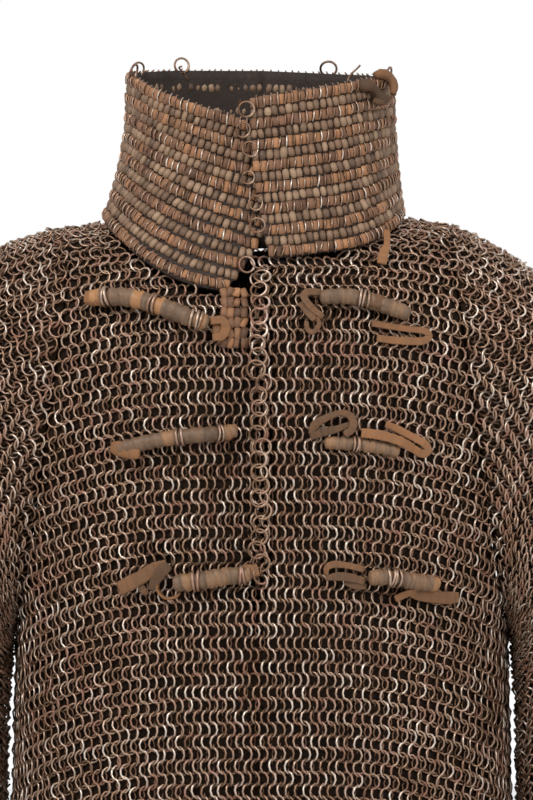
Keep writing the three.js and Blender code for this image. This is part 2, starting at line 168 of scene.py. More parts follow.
def tube_ring(name, around, across, radius=RING_RADIUS, wire=WIRE_RADIUS, start=0.0, end=2 * np.pi):
    """A ring or an open arc of wire. 'near' is 1 on the side that leans out of the mail."""
    closed = end - start > 6.28
    turns = np.linspace(start, end, around, endpoint=not closed)
    points, near = [], []
    for turn in turns:
        thick = wire * (1 + RIVET_SWELL * np.exp(-((turn - 5.4) / 0.35) ** 2))
        for k in range(across):
            round_wire = 2 * np.pi * (k + 0.5) / across
            reach = radius + thick * np.cos(round_wire)
            points.append((reach * np.cos(turn), reach * np.sin(turn), thick * np.sin(round_wire)))
            near.append(0.5 + 0.5 * np.cos(turn))
    faces = []
    for i in range(around if closed else around - 1):
        for k in range(across):
            a, b = i * across + k, i * across + (k + 1) % across
            c, d = ((i + 1) % around) * across + (k + 1) % across, ((i + 1) % around) * across + k
            faces.append((a, d, c, b))
    if not closed:
        faces.append(tuple(range(across)))
        faces.append(tuple(range((around - 1) * across, around * across))[::-1])
    mesh = bpy.data.meshes.new(name)
    mesh.from_pydata([tuple(c * METRE for c in p) for p in points], [], faces)
    mesh.shade_smooth()
    mesh.attributes.new("near", "FLOAT", "POINT").data.foreach_set("value", near)
    return mesh


fine_ring = tube_ring("fine ring", 10, 4)
plain_ring = tube_ring("plain ring", 6, 3)
print("ring faces", len(fine_ring.polygons), "and", len(plain_ring.polygons))

# %% [markdown]
# The tree takes its sizes from named inputs, so the same tree strews rings, beads and thongs.

# %% The tree that strews small parts


def strewing_tree():
    tree = bpy.data.node_groups.new("strew small parts", "GeometryNodeTree")
    face = tree.interface
    face.new_socket("Places", in_out="INPUT", socket_type="NodeSocketGeometry")
    face.new_socket("Small part", in_out="INPUT", socket_type="NodeSocketObject")
    face.new_socket("Finish", in_out="INPUT", socket_type="NodeSocketMaterial")
    face.new_socket("Parts", in_out="OUTPUT", socket_type="NodeSocketGeometry")
    add = tree.nodes.new
    given, result = add("NodeGroupInput"), add("NodeGroupOutput")
    part = add("GeometryNodeObjectInfo")
    turn, size = add("GeometryNodeInputNamedAttribute"), add("GeometryNodeInputNamedAttribute")
    for node, name in ((turn, "turn"), (size, "size")):
        node.data_type = "FLOAT_VECTOR"
        node.inputs["Name"].default_value = name
    to_rotation = add("FunctionNodeEulerToRotation")
    instance = add("GeometryNodeInstanceOnPoints")
    realize = add("GeometryNodeRealizeInstances")
    tidy = [add("GeometryNodeRemoveAttribute") for _ in range(2)]
    for node, name in zip(tidy, ("turn", "size")):
        node.inputs["Name"].default_value = name
    finish = add("GeometryNodeSetMaterial")
    link = tree.links.new
    link(given.outputs["Places"], instance.inputs["Points"])
    link(given.outputs["Small part"], part.inputs["Object"])
    link(part.outputs["Geometry"], instance.inputs["Instance"])
    link(turn.outputs["Attribute"], to_rotation.inputs["Euler"])
    link(to_rotation.outputs["Rotation"], instance.inputs["Rotation"])
    link(size.outputs["Attribute"], instance.inputs["Scale"])
    link(instance.outputs["Instances"], realize.inputs["Geometry"])
    link(realize.outputs["Geometry"], tidy[0].inputs["Geometry"])
    link(tidy[0].outputs["Geometry"], tidy[1].inputs["Geometry"])
    link(tidy[1].outputs["Geometry"], finish.inputs["Geometry"])
    link(given.outputs["Finish"], finish.inputs["Material"])
    link(finish.outputs["Geometry"], result.inputs["Parts"])
    return tree


strew_tree = strewing_tree()
socket_of = {item.name: item.identifier for item in strew_tree.interface.items_tree}


def as_euler(axes):
    """XYZ angles of frames whose columns are the small part's own x, y and z directions."""
    return np.stack([np.arctan2(axes[:, 2, 1], axes[:, 2, 2]),
                     -np.arcsin(np.clip(axes[:, 2, 0], -1, 1)),
                     np.arctan2(axes[:, 1, 0], axes[:, 0, 0])], axis=1)


def ride(piece):
    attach(piece, "root")
    return piece


def strew(name, small_mesh, places, axes, sizes, tones, material):
    """One joined mesh with the small part at every place (millimetres)."""
    count = len(places)
    mesh = bpy.data.meshes.new(name)
    mesh.vertices.add(count)
    mesh.vertices.foreach_set("co", (np.asarray(places) * METRE).astype(np.float32).ravel())
    values = (("turn", "FLOAT_VECTOR", "vector", as_euler(axes)),
              ("size", "FLOAT_VECTOR", "vector", np.broadcast_to(sizes, (count, 3))),
              ("tone", "FLOAT", "value", tones))
    for attribute, kind, field, data in values:
        mesh.attributes.new(attribute, kind, "POINT").data.foreach_set(
            field, np.asarray(data, np.float32).ravel())
    piece = bpy.data.objects.new(name, mesh)
    bpy.context.scene.collection.objects.link(piece)
    small = bpy.data.objects.new(name + " part", small_mesh)
    modifier = piece.modifiers.new("strew", "NODES")
    modifier.node_group = strew_tree
    modifier[socket_of["Small part"]] = small
    modifier[socket_of["Finish"]] = material
    evaluated = piece.evaluated_get(bpy.context.evaluated_depsgraph_get())
    strewn = bpy.data.meshes.new_from_object(evaluated)
    piece.modifiers.remove(modifier)
    piece.data = strewn
    strewn.name = name
    bpy.data.meshes.remove(mesh)
    bpy.data.objects.remove(small)
    triangles = sum(len(p.vertices) - 2 for p in strewn.polygons)
    print(f"{name}: {count} parts, {triangles} triangles")
    return ride(piece)


print("strewing tree has", len(strew_tree.nodes), "nodes")

# %% [markdown]
# ## Iron
# The rings are old iron, with redder rust on some. Each ring is lighter on its proud side and dark brown
# on its hidden side, deep in the weave: partly real wear rubbed bright, partly painted shade. Each ring's
# 'tone' sets how strongly that shows, and 'near' tells its proud side from its hidden one. Noise in the
# object's own space breaks both up.

# %% Nodes for finishes


def new_finish(name):
    material = bpy.data.materials.new(name)
    material.use_nodes = True
    nodes = material.node_tree.nodes
    return material, nodes, material.node_tree.links.new, nodes["Principled BSDF"]


def noise(nodes, link, place, scale, detail=4.0, rough=0.55):
    node = nodes.new("ShaderNodeTexNoise")
    node.inputs["Scale"].default_value = scale
    node.inputs["Detail"].default_value = detail
    node.inputs["Roughness"].default_value = rough
    link(place, node.inputs["Vector"])
    return node.outputs["Fac"]


def ramp(nodes, link, source, stops):
    node = nodes.new("ShaderNodeValToRGB")
    elements = node.color_ramp.elements
    while len(elements) < len(stops):
        elements.new(0.5)
    for element, (place, colour) in zip(elements, stops):
        element.position = place
        element.color = (*colour, 1) if len(colour) == 3 else colour
    link(source, node.inputs["Fac"])
    return node.outputs["Color"]


def grey(level):
    return (level, level, level)


def mix(nodes, link, share, a, b, blend="MIX"):
    node = nodes.new("ShaderNodeMix")
    node.data_type = "RGBA"
    node.blend_type = blend
    for value, socket in ((share, node.inputs["Factor"]), (a, node.inputs[6]), (b, node.inputs[7])):
        if isinstance(value, (tuple, float, int)):
            socket.default_value = (*value, 1) if isinstance(value, tuple) else value
        else:
            link(value, socket)
    return node.outputs[2]


def maths(nodes, link, operation, a, b):
    node = nodes.new("ShaderNodeMath")
    node.operation = operation
    for value, socket in ((a, node.inputs[0]), (b, node.inputs[1])):
        if isinstance(value, (float, int)):
            socket.default_value = value
        else:
            link(value, socket)
    return node.outputs[0]


def attribute(nodes, name):
    node = nodes.new("ShaderNodeAttribute")
    node.attribute_name = name
    return node.outputs["Fac"]


def bump(nodes, link, height, principled, depth, strength=1.0):
    node = nodes.new("ShaderNodeBump")
    node.inputs["Distance"].default_value = depth
    node.inputs["Strength"].default_value = strength
    link(height, node.inputs["Height"])
    link(node.outputs["Normal"], principled.inputs["Normal"])


# %% Iron of the rings


def ring_iron():
    material, nodes, link, iron = new_finish("ring iron")
    place = nodes.new("ShaderNodeTexCoord").outputs["Object"]
    stain = noise(nodes, link, place, 28, 5)
    specks = noise(nodes, link, place, 420, 3, 0.7)
    tone = attribute(nodes, "tone")
    # Lighter on the ring's proud side and darker on its hidden side: partly real wear, partly painted shade
    # deep in the weave.
    wear_and_shade = maths(nodes, link, "MULTIPLY", attribute(nodes, "near"), tone)
    wear_and_shade = maths(nodes, link, "ADD", wear_and_shade, maths(nodes, link, "MULTIPLY", stain, 0.45))
    brown = ramp(nodes, link, wear_and_shade, [(0.1, (0.075, 0.039, 0.022)), (0.5, (0.205, 0.125, 0.079)),
                                     (0.85, (0.34, 0.245, 0.185)), (1.0, (0.50, 0.42, 0.35))])
    rusty = ramp(nodes, link, noise(nodes, link, place, 90, 4), [(0.5, grey(0)), (0.64, grey(1))])
    rust = mix(nodes, link, specks, (0.11, 0.038, 0.020), (0.21, 0.085, 0.048))
    link(mix(nodes, link, maths(nodes, link, "MULTIPLY", rusty, 0.7), brown, rust),
         iron.inputs["Base Color"])
    link(ramp(nodes, link, rusty, [(0.0, grey(0.9)), (1.0, grey(0.25))]), iron.inputs["Metallic"])
    link(ramp(nodes, link, specks, [(0.3, grey(0.3)), (0.75, grey(0.62))]), iron.inputs["Roughness"])
    bump(nodes, link, specks, iron, 0.00025, 0.7)
    return material


iron_finish = ring_iron()
print(iron_finish.name, "has", len(iron_finish.node_tree.nodes), "nodes")

# %% [markdown]
# ## The body's rings
# Down each column the rings follow the surface from the shoulder line to the hem, one row every
# 8.2 mm. Across the chest the columns stand 5.5 mm apart and spread towards the shoulders, where
# the mail is pulled open. The rows droop outwards, because the shirt hangs from the middle of the
# shoulders. So a ring's place is a column and a length down that column.

# %% The lattice of the body
ROW_PITCH = 8.2
COLUMN_PITCH = 5.5
SPREAD_PITCH = 1.6            # how much wider the columns stand near the sides
ROW_DROOP = 34.0              # at the armpit
DROOP_POWER = 3.4
SPREAD_SHARE = 0.6            # how far the columns fan out with the body's width above the armpit


def column_places():
    """x of the columns at the armpit's level, at every half pitch from the middle."""
    turn = np.linspace(0, np.pi / 2, 2000)
    x = ARMPIT_X * np.sin(turn)
    y = BODY_DEPTH["front"][2] * crown(np.sin(turn), CHEST_POWER)
    along = np.concatenate([[0], np.cumsum(np.hypot(np.diff(x), np.diff(y)))])
    pitch = COLUMN_PITCH + SPREAD_PITCH * smooth((along - 30) / 90)
    number = np.concatenate([[0], np.cumsum(np.diff(along) / pitch[1:])])
    half_steps = np.arange(0, int(2 * number[-1]) + 1) / 2
    right = np.interp(half_steps, number, x)
    return np.concatenate([-right[:0:-1], right])


COLUMN_X = column_places()
MIDDLE = len(COLUMN_X) // 2


def lattice_half(z):
    above = ARMPIT_X + SPREAD_SHARE * (body_half(z) - ARMPIT_X)
    return np.where(z > ARMPIT_Z, above, body_half(z))


def body_columns(face):
    """Points down every column, and the length along the column to each."""
    turn = np.linspace(0.02, np.pi / 2, 160)
    drop = np.concatenate([ROUND_OVER * (1 - np.cos(turn)), np.arange(92, 655, 2.0)])
    x = np.tile(COLUMN_X, (len(drop), 1))
    for _ in range(3):
        z = ridge(x) - drop[:, None]
        x = COLUMN_X / ARMPIT_X * lattice_half(z)
    y = depth_at(face, x, z) * (-1 if face == "front" else 1)
    points = np.stack([x, y, z], axis=2)
    step = np.linalg.norm(np.diff(points, axis=0), axis=2)
    return points, np.concatenate([np.zeros((1, x.shape[1])), np.cumsum(step, axis=0)])


def at_height(points, along, z):
    """Length down each column to a height that may differ from column to column."""
    return np.array([np.interp(-z[c], -points[:, c, 2], along[:, c]) for c in range(len(z))])


def body_rows(face):
    """Ring places for every row and every half column, with the valid ones marked."""
    points, along = body_columns(face)
    droop = ROW_DROOP * (np.abs(COLUMN_X) / 165) ** DROOP_POWER
    chest = at_height(points, along, ARMPIT_Z - droop)
    hem = at_height(points, along, np.full(len(COLUMN_X), HEM_Z))
    belt = at_height(points, along, np.full(len(COLUMN_X), -400.0))[MIDDLE]
    lengths = ROW_PITCH * (np.arange(int(hem.max() / ROW_PITCH) + 3) + 0.5)
    low = smooth((lengths - belt) / (hem[MIDDLE] - belt))[:, None]
    wanted = lengths[:, None] + lerp(chest - chest[MIDDLE], hem - hem[MIDDLE], low)
    grid = np.stack([np.stack([np.interp(wanted[:, c], along[:, c], points[:, c, k])
                               for c in range(len(COLUMN_X))], axis=1) for k in range(3)], axis=2)
    below = np.stack([np.stack([np.interp(wanted[:, c] + 1, along[:, c], points[:, c, k])
                                for c in range(len(COLUMN_X))], axis=1) for k in range(3)], axis=2)
    down = below - grid
    across = np.empty_like(grid)
    across[:, 1:-1] = grid[:, 2:] - grid[:, :-2]
    across[:, 0], across[:, -1] = across[:, 1], across[:, -2]
    inside = (wanted > 0.3 * ROW_PITCH) & (wanted < hem - 0.4 * ROW_PITCH)
    return grid, across, down, inside


front_rows, back_rows = body_rows("front"), body_rows("back")
print("rows and half columns", front_rows[0].shape[:2])

# %% [markdown]
# A ring lies in the plane of its column's direction and of a line that leans out of the mail by
# the angle whose cosine grows with the pitch: crowded rings stand on edge, and rings that are
# pulled apart lie open. Small random turns keep the rows from looking like a machine's work.

# %% Frames of the rings
LEAN_PITCH = 7.2              # at this pitch the rings would lie flat
TILT_JITTER = 0.11            # radians


def unit(v):
    return v / np.maximum(np.linalg.norm(v, axis=-1, keepdims=True), 1e-9)


def turned(axes, amount):
    """Each frame turned a little at random about its own directions."""
    a, b, c = rng.normal(0, amount, (3, len(axes)))
    zero = np.zeros_like(a)
    small = np.stack([np.stack([zero, -c, b], 1), np.stack([c, zero, -a], 1),
                      np.stack([-b, a, zero], 1)], 1)
    frames = axes @ (np.eye(3) + small)
    x = unit(frames[:, :, 0])
    y = unit(frames[:, :, 1] - x * np.sum(x * frames[:, :, 1], axis=1, keepdims=True))
    return np.stack([x, y, np.cross(x, y)], axis=2)


def ring_frames(across, down, outward, lean, pitch):
    """Frames of leaning rings. Their own +x side is the one that stands proud."""
    u = unit(across)
    n = unit(outward - u * np.sum(outward * u, axis=1, keepdims=True))
    v = unit(down - n * np.sum(down * n, axis=1, keepdims=True))
    flat = np.clip(pitch / LEAN_PITCH, 0.35, 0.97)[:, None]
    lean = np.asarray(lean, float)[:, None]
    x = unit(lean * flat * u + np.sqrt(1 - flat ** 2) * n)
    y = unit(v - x * np.sum(v * x, axis=1, keepdims=True))
    return turned(np.stack([x, y, np.cross(x, y)], axis=2), TILT_JITTER)


def strew_rings(name, places, frames, fine):
    count = len(places)
    places = places + rng.normal(0, 0.22, (count, 3))
    sizes = rng.normal(1, 0.018, (count, 1))
    tones = rng.beta(2.4, 2.2, count)
    return strew(name, fine_ring if fine else plain_ring, places, frames, sizes, tones,
                 iron_finish)


# %% Rings of the front and the back
EDGE = 1.5                    # rings end this far inside the armhole
SHOWN_DOWN_TO = -392.0        # below this height a coarser ring does


def panel_rings(face, keep, side=0):
    """Places and frames of the rings of one face of the body that keep(x, z) picks."""
    grid, across, down, inside = front_rows if face == "front" else back_rows
    rows, columns = inside.shape
    row, column = np.meshgrid(np.arange(rows), np.arange(columns), indexing="ij")
    linked = (row + column - MIDDLE) % 2 == 0
    x, z = grid[..., 0], grid[..., 2]
    reach = np.where(z > ARMPIT_Z, armhole_x(z) - EDGE, body_half(z))
    neck_side = np.where(x < 0, LEFT, RIGHT) if side == 0 else np.full(x.shape, side)
    neck_edge = np.where(neck_side == LEFT, neck_height(face, LEFT, x), neck_height(face, RIGHT, x))
    half = np.where(neck_side == LEFT, NECK[LEFT]["half"], NECK[RIGHT]["half"])
    under_neck = (np.abs(x) > half) | (z < neck_edge)
    chosen = inside & linked & (np.abs(x) < reach) & under_neck & keep(x, z)
    places = grid[chosen].copy()
    if side == LEFT:
        places[:, 1] += left_sink(places[:, 0], places[:, 2])
    front = face == "front"
    outward = np.cross(down[chosen], across[chosen]) * (1 if front else -1)
    pitch = np.linalg.norm(across[chosen], axis=1)
    lean = np.where(row[chosen] % 2 == 0, 1, -1)
    return places, ring_frames(across[chosen], down[chosen], outward, lean, pitch)


def slit_edge(side, z):
    """x where the left or the right front ends."""
    if side == RIGHT:
        return np.full(np.shape(z), SLIT_X)
    return np.where(z - ARMPIT_Z > 45, SLIT_X + SLIT_LAP, SLIT_X)


def shown_front(side):
    def keep(x, z):
        edge = slit_edge(side, z)
        return (z > SHOWN_DOWN_TO) & ((x > edge) if side == RIGHT else (x <= edge))
    return keep


MAIL = {}
for side, word in ((LEFT, "left"), (RIGHT, "right")):
    MAIL["front_" + word] = [strew_rings("rings_front_" + word,
                                         *panel_rings("front", shown_front(side), side), True)]
    skirt = panel_rings("front", lambda x, z: (z <= SHOWN_DOWN_TO) & ((x > SLIT_X) == (side > 0)))
    MAIL["front_" + word].append(strew_rings("rings_skirt_" + word, *skirt, False))
MAIL["back"] = [
    strew_rings("rings_back_upper", *panel_rings("back", lambda x, z: z > ARMPIT_Z), False),
    strew_rings("rings_back_lower", *panel_rings("back", lambda x, z: z <= ARMPIT_Z), False),
]

# %% [markdown]
# ## The sleeves' rings
# A sleeve is a tube from the slanting armhole to the level cuff. Its rows run on from the body's
# rows, down the length of the arm, and are laid from the outer line inwards on both faces. A row
# ends where the tube has grown too narrow for it.

# %% Form of the sleeves
SLEEVE = [  # outer x, height on the left, on the right, inner x, inner height, half depth
    (151, -4.5, -10, 169.5, -263, 75), (180, -16, -28, 170, -268, 72), (215, -44, -55, 170.5, -275, 69),
    (245, -87, -96, 171, -285, 67), (266, -147, -152, 171.5, -298, 66),
    (280, -220, -222, 172, -316, 65), (288, -300, -300, 172.5, -344, 65),
    (293, -370, -370, 173.5, -386, 64), (296, -420, -420, 175, -420, 64),
]
SLEEVE_BLEND = 3
SLEEVE_PITCH = 6.4            # between rings along the arm


def armhole_curve(side, face, turn):
    share = (1 - np.cos(turn)) / 2
    top = SHOULDER_LINE[side][-1]
    x, z = side * lerp(SHOULDER_X, ARMPIT_X, share), lerp(top, ARMPIT_Z, share)
    deep = depth_at(face, x, z)
    return np.stack([x, -deep if face == "front" else deep, z], axis=-1)


def sleeve_levels(side, face, turns):
    """Rings of points round one face of the sleeve, from the armhole to the cuff."""
    start = armhole_curve(side, face, turns)
    share = (1 - np.cos(turns)) / 2
    sign = -1 if face == "front" else 1
    levels = [start]
    for number, (out_x, left, right, in_x, in_z, depth) in enumerate(SLEEVE):
        blend = min((number + 1) / SLEEVE_BLEND, 1)
        out_z = left if side == LEFT else right
        levels.append(np.stack([side * lerp(out_x, in_x, share),
                                lerp(start[:, 1], sign * depth * np.sin(turns), blend),
                                lerp(out_z, in_z, share)], axis=-1))
    return np.array(levels)


def smoothed(points, steps):
    """Catmull-Rom curve through rows of points, steps to each interval."""
    padded = np.concatenate([[2 * points[0] - points[1]], points, [2 * points[-1] - points[-2]]])
    rows = []
    for i in range(1, len(padded) - 2):
        a, b, c, d = padded[i - 1:i + 3]
        for t in np.arange(steps) / steps:
            rows.append(0.5 * (2 * b + (c - a) * t + (2 * a - 5 * b + 4 * c - d) * t ** 2
                               + (3 * b - a - 3 * c + d) * t ** 3))
    rows.append(padded[-2])
    return np.array(rows)


def sleeve_half(side, face):
    """Places and frames of the rings on one face of a sleeve."""
    turns = np.linspace(0, np.pi, 181)
    skin = smoothed(sleeve_levels(side, face, turns), 12)
    step = np.linalg.norm(np.diff(skin, axis=1), axis=2)
    round_way = np.concatenate([np.zeros((len(skin), 1)), np.cumsum(step, axis=1)], axis=1)
    places, along_arm, down_arm, leans = [], [], [], []
    for row in range(int(round_way[0, -1] / ROW_PITCH)):
        wanted = ROW_PITCH * (row + 0.5)
        fits = np.flatnonzero(round_way[:, -1] > wanted + 0.3 * ROW_PITCH)
        if len(fits) < 3:
            continue
        levels = range(0, fits[-1] + 1)
        line, beside = (np.array([[np.interp(wanted + more, round_way[n], skin[n, :, k])
                                   for k in range(3)] for n in levels]) for more in (0, 1))
        length = np.concatenate([[0], np.cumsum(np.linalg.norm(np.diff(line, axis=0), axis=1))])
        stops = np.arange(SLEEVE_PITCH * (0.4 + 0.5 * (row % 2)), length[-1] - 2.5, SLEEVE_PITCH)
        here, ahead, under = (
            np.stack([np.interp(stops + more, length, curve[:, k]) for k in range(3)], axis=1)
            for more, curve in ((0, line), (1, line), (0, beside)))
        places.append(here)
        along_arm.append(ahead - here)
        down_arm.append(under - here)
        leans.append(np.full(len(here), (1 if row % 2 == 0 else -1)))
    places, u, v = (np.concatenate(group) for group in (places, along_arm, down_arm))
    outward = np.cross(v, u) * (side if face == "front" else -side)
    pitch = np.full(len(places), SLEEVE_PITCH)
    return places, ring_frames(u, v, outward, np.concatenate(leans), pitch)


for side, word in ((LEFT, "left"), (RIGHT, "right")):
    places, frames = sleeve_half(side, "front")
    shown = (places[:, 2] > SHOWN_DOWN_TO) & (np.abs(places[:, 0]) < 188)
    MAIL["sleeve_" + word] = [
        strew_rings(f"rings_sleeve_{word}_shown", places[shown], frames[shown], True),
        strew_rings(f"rings_sleeve_{word}_front", places[~shown], frames[~shown], False),
        strew_rings(f"rings_sleeve_{word}_back", *sleeve_half(side, "back"), False),
    ]

# %% [markdown]
# ## A sheet of painted shade behind the rings
# Mail is a cloth, and through its gaps there is only the dark of the rings that lie deeper. Each
# panel is one thin sheet just behind its rings, in the panel's own form. It stops short of the
# shoulder line and the slit, where light comes through the open rings. The sheet is laid on the
# form itself, because mail hangs without stretching.

# %% Sheets
BACKING_DEPTH = 2.4           # behind the middle of the rings
BACKING_THICK = 0.6
SHOULDER_LIGHT = 5.0          # the sheets end this far below the shoulder line
SLIT_LIGHT = 12.0             # and this far from the slit's edge


# The sheets' finish is painted shade: a near-black brown that stands for the far halves of the rings, which
# lie in shade behind the gaps.
def painted_shade_sheet_finish():
    material, nodes, link, iron = new_finish("painted shade between the rings")
    place = nodes.new("ShaderNodeTexCoord").outputs["Object"]
    patches = noise(nodes, link, place, 60, 5)
    link(ramp(nodes, link, patches, [(0.3, (0.004, 0.0018, 0.0008)), (0.7, (0.016, 0.008, 0.004))]),
         iron.inputs["Base Color"])
    iron.inputs["Specular IOR Level"].default_value = 0.06
    link(ramp(nodes, link, noise(nodes, link, place, 300, 3), [(0.3, grey(0.55)), (0.8, grey(0.85))]),
         iron.inputs["Roughness"])
    bump(nodes, link, noise(nodes, link, place, 170, 3), iron, 0.0012, 0.8)
    return material


painted_shade_finish = painted_shade_sheet_finish()


def outward_of(grid, wraps=False):
    """Unit directions out of a grid of points, by differences."""
    if wraps:
        across = np.roll(grid, -1, axis=1) - np.roll(grid, 1, axis=1)
    else:
        across = np.gradient(grid, axis=1)
    down = np.gradient(grid, axis=0)
    return unit(np.cross(down, across))


def walled(name, grid, thickness, material, wraps=False):
    """A closed wall round a grid of points, with its faces pointing out."""
    out = outward_of(grid, wraps)
    rows, columns = grid.shape[:2]
    points = np.concatenate([(grid + out * thickness / 2).reshape(-1, 3),
                             (grid - out * thickness / 2).reshape(-1, 3)])
    layer = rows * columns
    last = columns if wraps else columns - 1
    faces = []
    for i in range(rows - 1):
        for j in range(last):
            a, b = i * columns + j, i * columns + (j + 1) % columns
            c, d = b + columns, a + columns
            faces += [(a, d, c, b), (a + layer, b + layer, c + layer, d + layer)]
    rim = [[j for j in range(last)], [(rows - 1) * columns + j for j in range(last)]]
    for j in rim[0]:
        k = (j + 1) % columns
        faces.append((j, k, k + layer, j + layer))
    for j in rim[1]:
        k = j - columns + 1 + columns if (j + 1) % columns else j + 1 - columns
        faces.append((k, j, j + layer, k + layer))
    if not wraps:
        for i in range(rows - 1):
            a, b = i * columns, (i + 1) * columns
            faces.append((b, a, a + layer, b + layer))
            a, b = a + columns - 1, b + columns - 1
            faces.append((a, b, b + layer, a + layer))
    mesh = bpy.data.meshes.new(name)
    mesh.from_pydata([tuple(p) for p in points * METRE], [], faces)
    corner = points[np.array([f[:3] for f in faces])]
    volume = np.sum(corner[:, 0] * np.cross(corner[:, 1], corner[:, 2]))
    if volume < 0:
        mesh.flip_normals()
    mesh.shade_smooth()
    mesh.materials.append(material)
    piece = bpy.data.objects.new(name, mesh)
    bpy.context.scene.collection.objects.link(piece)
    return piece


def on_body(face, side, x, z):
    deep = depth_at(face, x, z)
    if face == "back":
        return np.stack([x, deep, z], axis=-1)
    return np.stack([x, -deep + (left_sink(x, z) if side == LEFT else 0), z], axis=-1)


def panel_x(face, side, share, z, inset):
    half = body_half(z)
    light = inset * smooth((z - ARMPIT_Z) / 30)
    inner = slit_edge(side, z) + side * light if face == "front" else 0 * z
    outer = np.where(z > ARMPIT_Z, armhole_x(z), half) * side
    turn = lerp(np.arcsin(np.clip(inner / half, -1, 1)), np.arcsin(np.clip(outer / half, -1, 1)), share)
    return half * np.sin(turn)


def panel_top(face, side, share, inset):
    """Height at which each column starts, found by halving."""
    low, high = np.full(len(share), -100.0), np.full(len(share), 20.0)
    for _ in range(40):
        z = (low + high) / 2
        x = panel_x(face, side, share, z, inset)
        at_neck = np.abs(x) < NECK[side]["half"]
        top = np.where(at_neck, neck_height(face, side, x), ridge(x) - SHOULDER_LIGHT)
        low, high = np.where(z < top, z, low), np.where(z < top, high, z)
    return low


def panel_grid(face, side, inset=0.0):
    share = 1 - (1 - np.linspace(0, 1, 29)) ** 1.25
    top = panel_top(face, side, share, inset)
    rows = [lerp(top, ARMPIT_Z, t) for t in np.linspace(0, 1, 20) ** 1.5]
    rows += [np.full(len(share), z) for z in np.linspace(ARMPIT_Z, HEM_Z + 3, 14)[1:]]
    return np.array([on_body(face, side, panel_x(face, side, share, z, inset), z) for z in rows])


def behind(grid, depth, wraps=False):
    """The grid moved into the shirt. Its middle tells which way that is."""
    out = outward_of(grid, wraps)
    centre = np.array([np.median(grid[..., 0]) * wraps, 0, 0])
    facing = np.sum(out * (grid - centre) * np.array([wraps, 1, 0]), axis=2, keepdims=True)
    return grid - out * np.where(np.median(facing) > 0, depth, -depth)


# Sheets of painted shade just behind the rings of the front and the back.
for side, word in ((LEFT, "left"), (RIGHT, "right")):
    grid = panel_grid("front", side, SLIT_LIGHT)
    sheet = ride(walled("mail_front_" + word, behind(grid, BACKING_DEPTH), BACKING_THICK, painted_shade_finish))
    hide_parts("front_" + word)

left_half, right_half = panel_grid("back", LEFT), panel_grid("back", RIGHT)
back_grid = np.concatenate([left_half[:, :0:-1], right_half], axis=1)
back_sheet = ride(walled("mail_back", behind(back_grid, BACKING_DEPTH), BACKING_THICK, painted_shade_finish))
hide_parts("back")

# %% Sheets of the sleeves
SLEEVE_LIGHT = 3.5            # how much deeper the sheet lies along the arm's outer line


def sleeve_grid(side):
    turns = np.linspace(0, np.pi, 25)
    front, back = (smoothed(sleeve_levels(side, face, turns), 3) for face in ("front", "back"))
    return np.concatenate([front, back[:, -2:0:-1]], axis=1), np.concatenate([turns, turns[-2:0:-1]])


# Sheets of painted shade inside the sleeves.
for side, word in ((LEFT, "left"), (RIGHT, "right")):
    grid, turns = sleeve_grid(side)
    middle = grid.mean(axis=1, keepdims=True)
    inward = unit(middle - grid)
    deep = (BACKING_DEPTH + SLEEVE_LIGHT * np.exp(-(turns / 0.5) ** 2))[None, :, None]
    sheet = ride(walled("mail_sleeve_" + word, (grid + inward * deep)[:-1], BACKING_THICK, painted_shade_finish,
                        wraps=True))
    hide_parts("sleeve_" + word)

# %% [markdown]
# ## The collar
# The collar is mail too, but leather thongs are laced through every row, so that it stands. Rows
# with a thong show it as squares between thin wires, and the rows between show rounded lumps of
# leather pressed out between the rings. Both kinds follow the collar's rows, from the flap's
# front edge round to the seam behind.

# %% Form of the collar
RIM = {LEFT: dict(half=88, front=70, back=62), RIGHT: dict(half=86, front=78, back=62)}
RIM_POWER = 2.3
COLLAR_FLARE = 2.2
COLLAR_LIFT = 3.5
FLAP_PROUD, FLAP_DROP = 10.0, 3.0
FLAP_CORNER = {LEFT: (-25, 16), RIGHT: (5, -8)}
RIM_TURNS = {LEFT: [-8, 0, 70, 90, 140, 180], RIGHT: [-6, 50, 90, 180]}
RIM_HEIGHT = {LEFT: [62, 70, 101, 105, 108, 108], RIGHT: [87, 100, 102, 108]}


def around_neck(side, ring, turn, front_power):
    x = ring["half"] * np.sin(turn)
    front = turn < np.pi / 2
    y = np.where(front, -ring["front"] * crown(x / ring["half"], front_power),
                 ring["back"] * crown(x / ring["half"], NECK_BACK_POWER))
    return side * x, y


def collar_point(side, share, rise):
    """share runs from the flap's edge round to the seam behind, rise from the foot to the rim."""
    share, rise = np.broadcast_arrays(np.asarray(share, float), np.asarray(rise, float))
    foot_x, rim_x = FLAP_CORNER[side]
    foot_turn = lerp(np.arcsin(side * foot_x / NECK[side]["half"]), np.pi, share)
    rim_turn = lerp(np.arcsin(side * rim_x / RIM[side]["half"]), np.pi, share)
    fx, fy = around_neck(side, NECK[side], foot_turn, NECK[side]["power"])
    rx, ry = around_neck(side, RIM[side], rim_turn, RIM_POWER)
    front = foot_turn < np.pi / 2
    low = np.where(front, neck_height("front", side, fx), neck_height("back", side, fx))
    if side == LEFT:
        fy = np.where(front, -depth_at("front", fx, low) + left_sink(fx, low), fy)
    low = low + COLLAR_LIFT
    if side == RIGHT:
        loose = smooth((45 - fx) / 35) * front
        fy, low = fy - FLAP_PROUD * loose, low - FLAP_DROP * loose
    flare = np.maximum(0, 1 - rise) ** COLLAR_FLARE
    top = np.interp(np.degrees(rim_turn), RIM_TURNS[side], RIM_HEIGHT[side])
    return np.stack([lerp(rx, fx, flare), lerp(ry, fy, flare), lerp(low, top, rise)], axis=-1)


# %% Leather of the collar and the ties


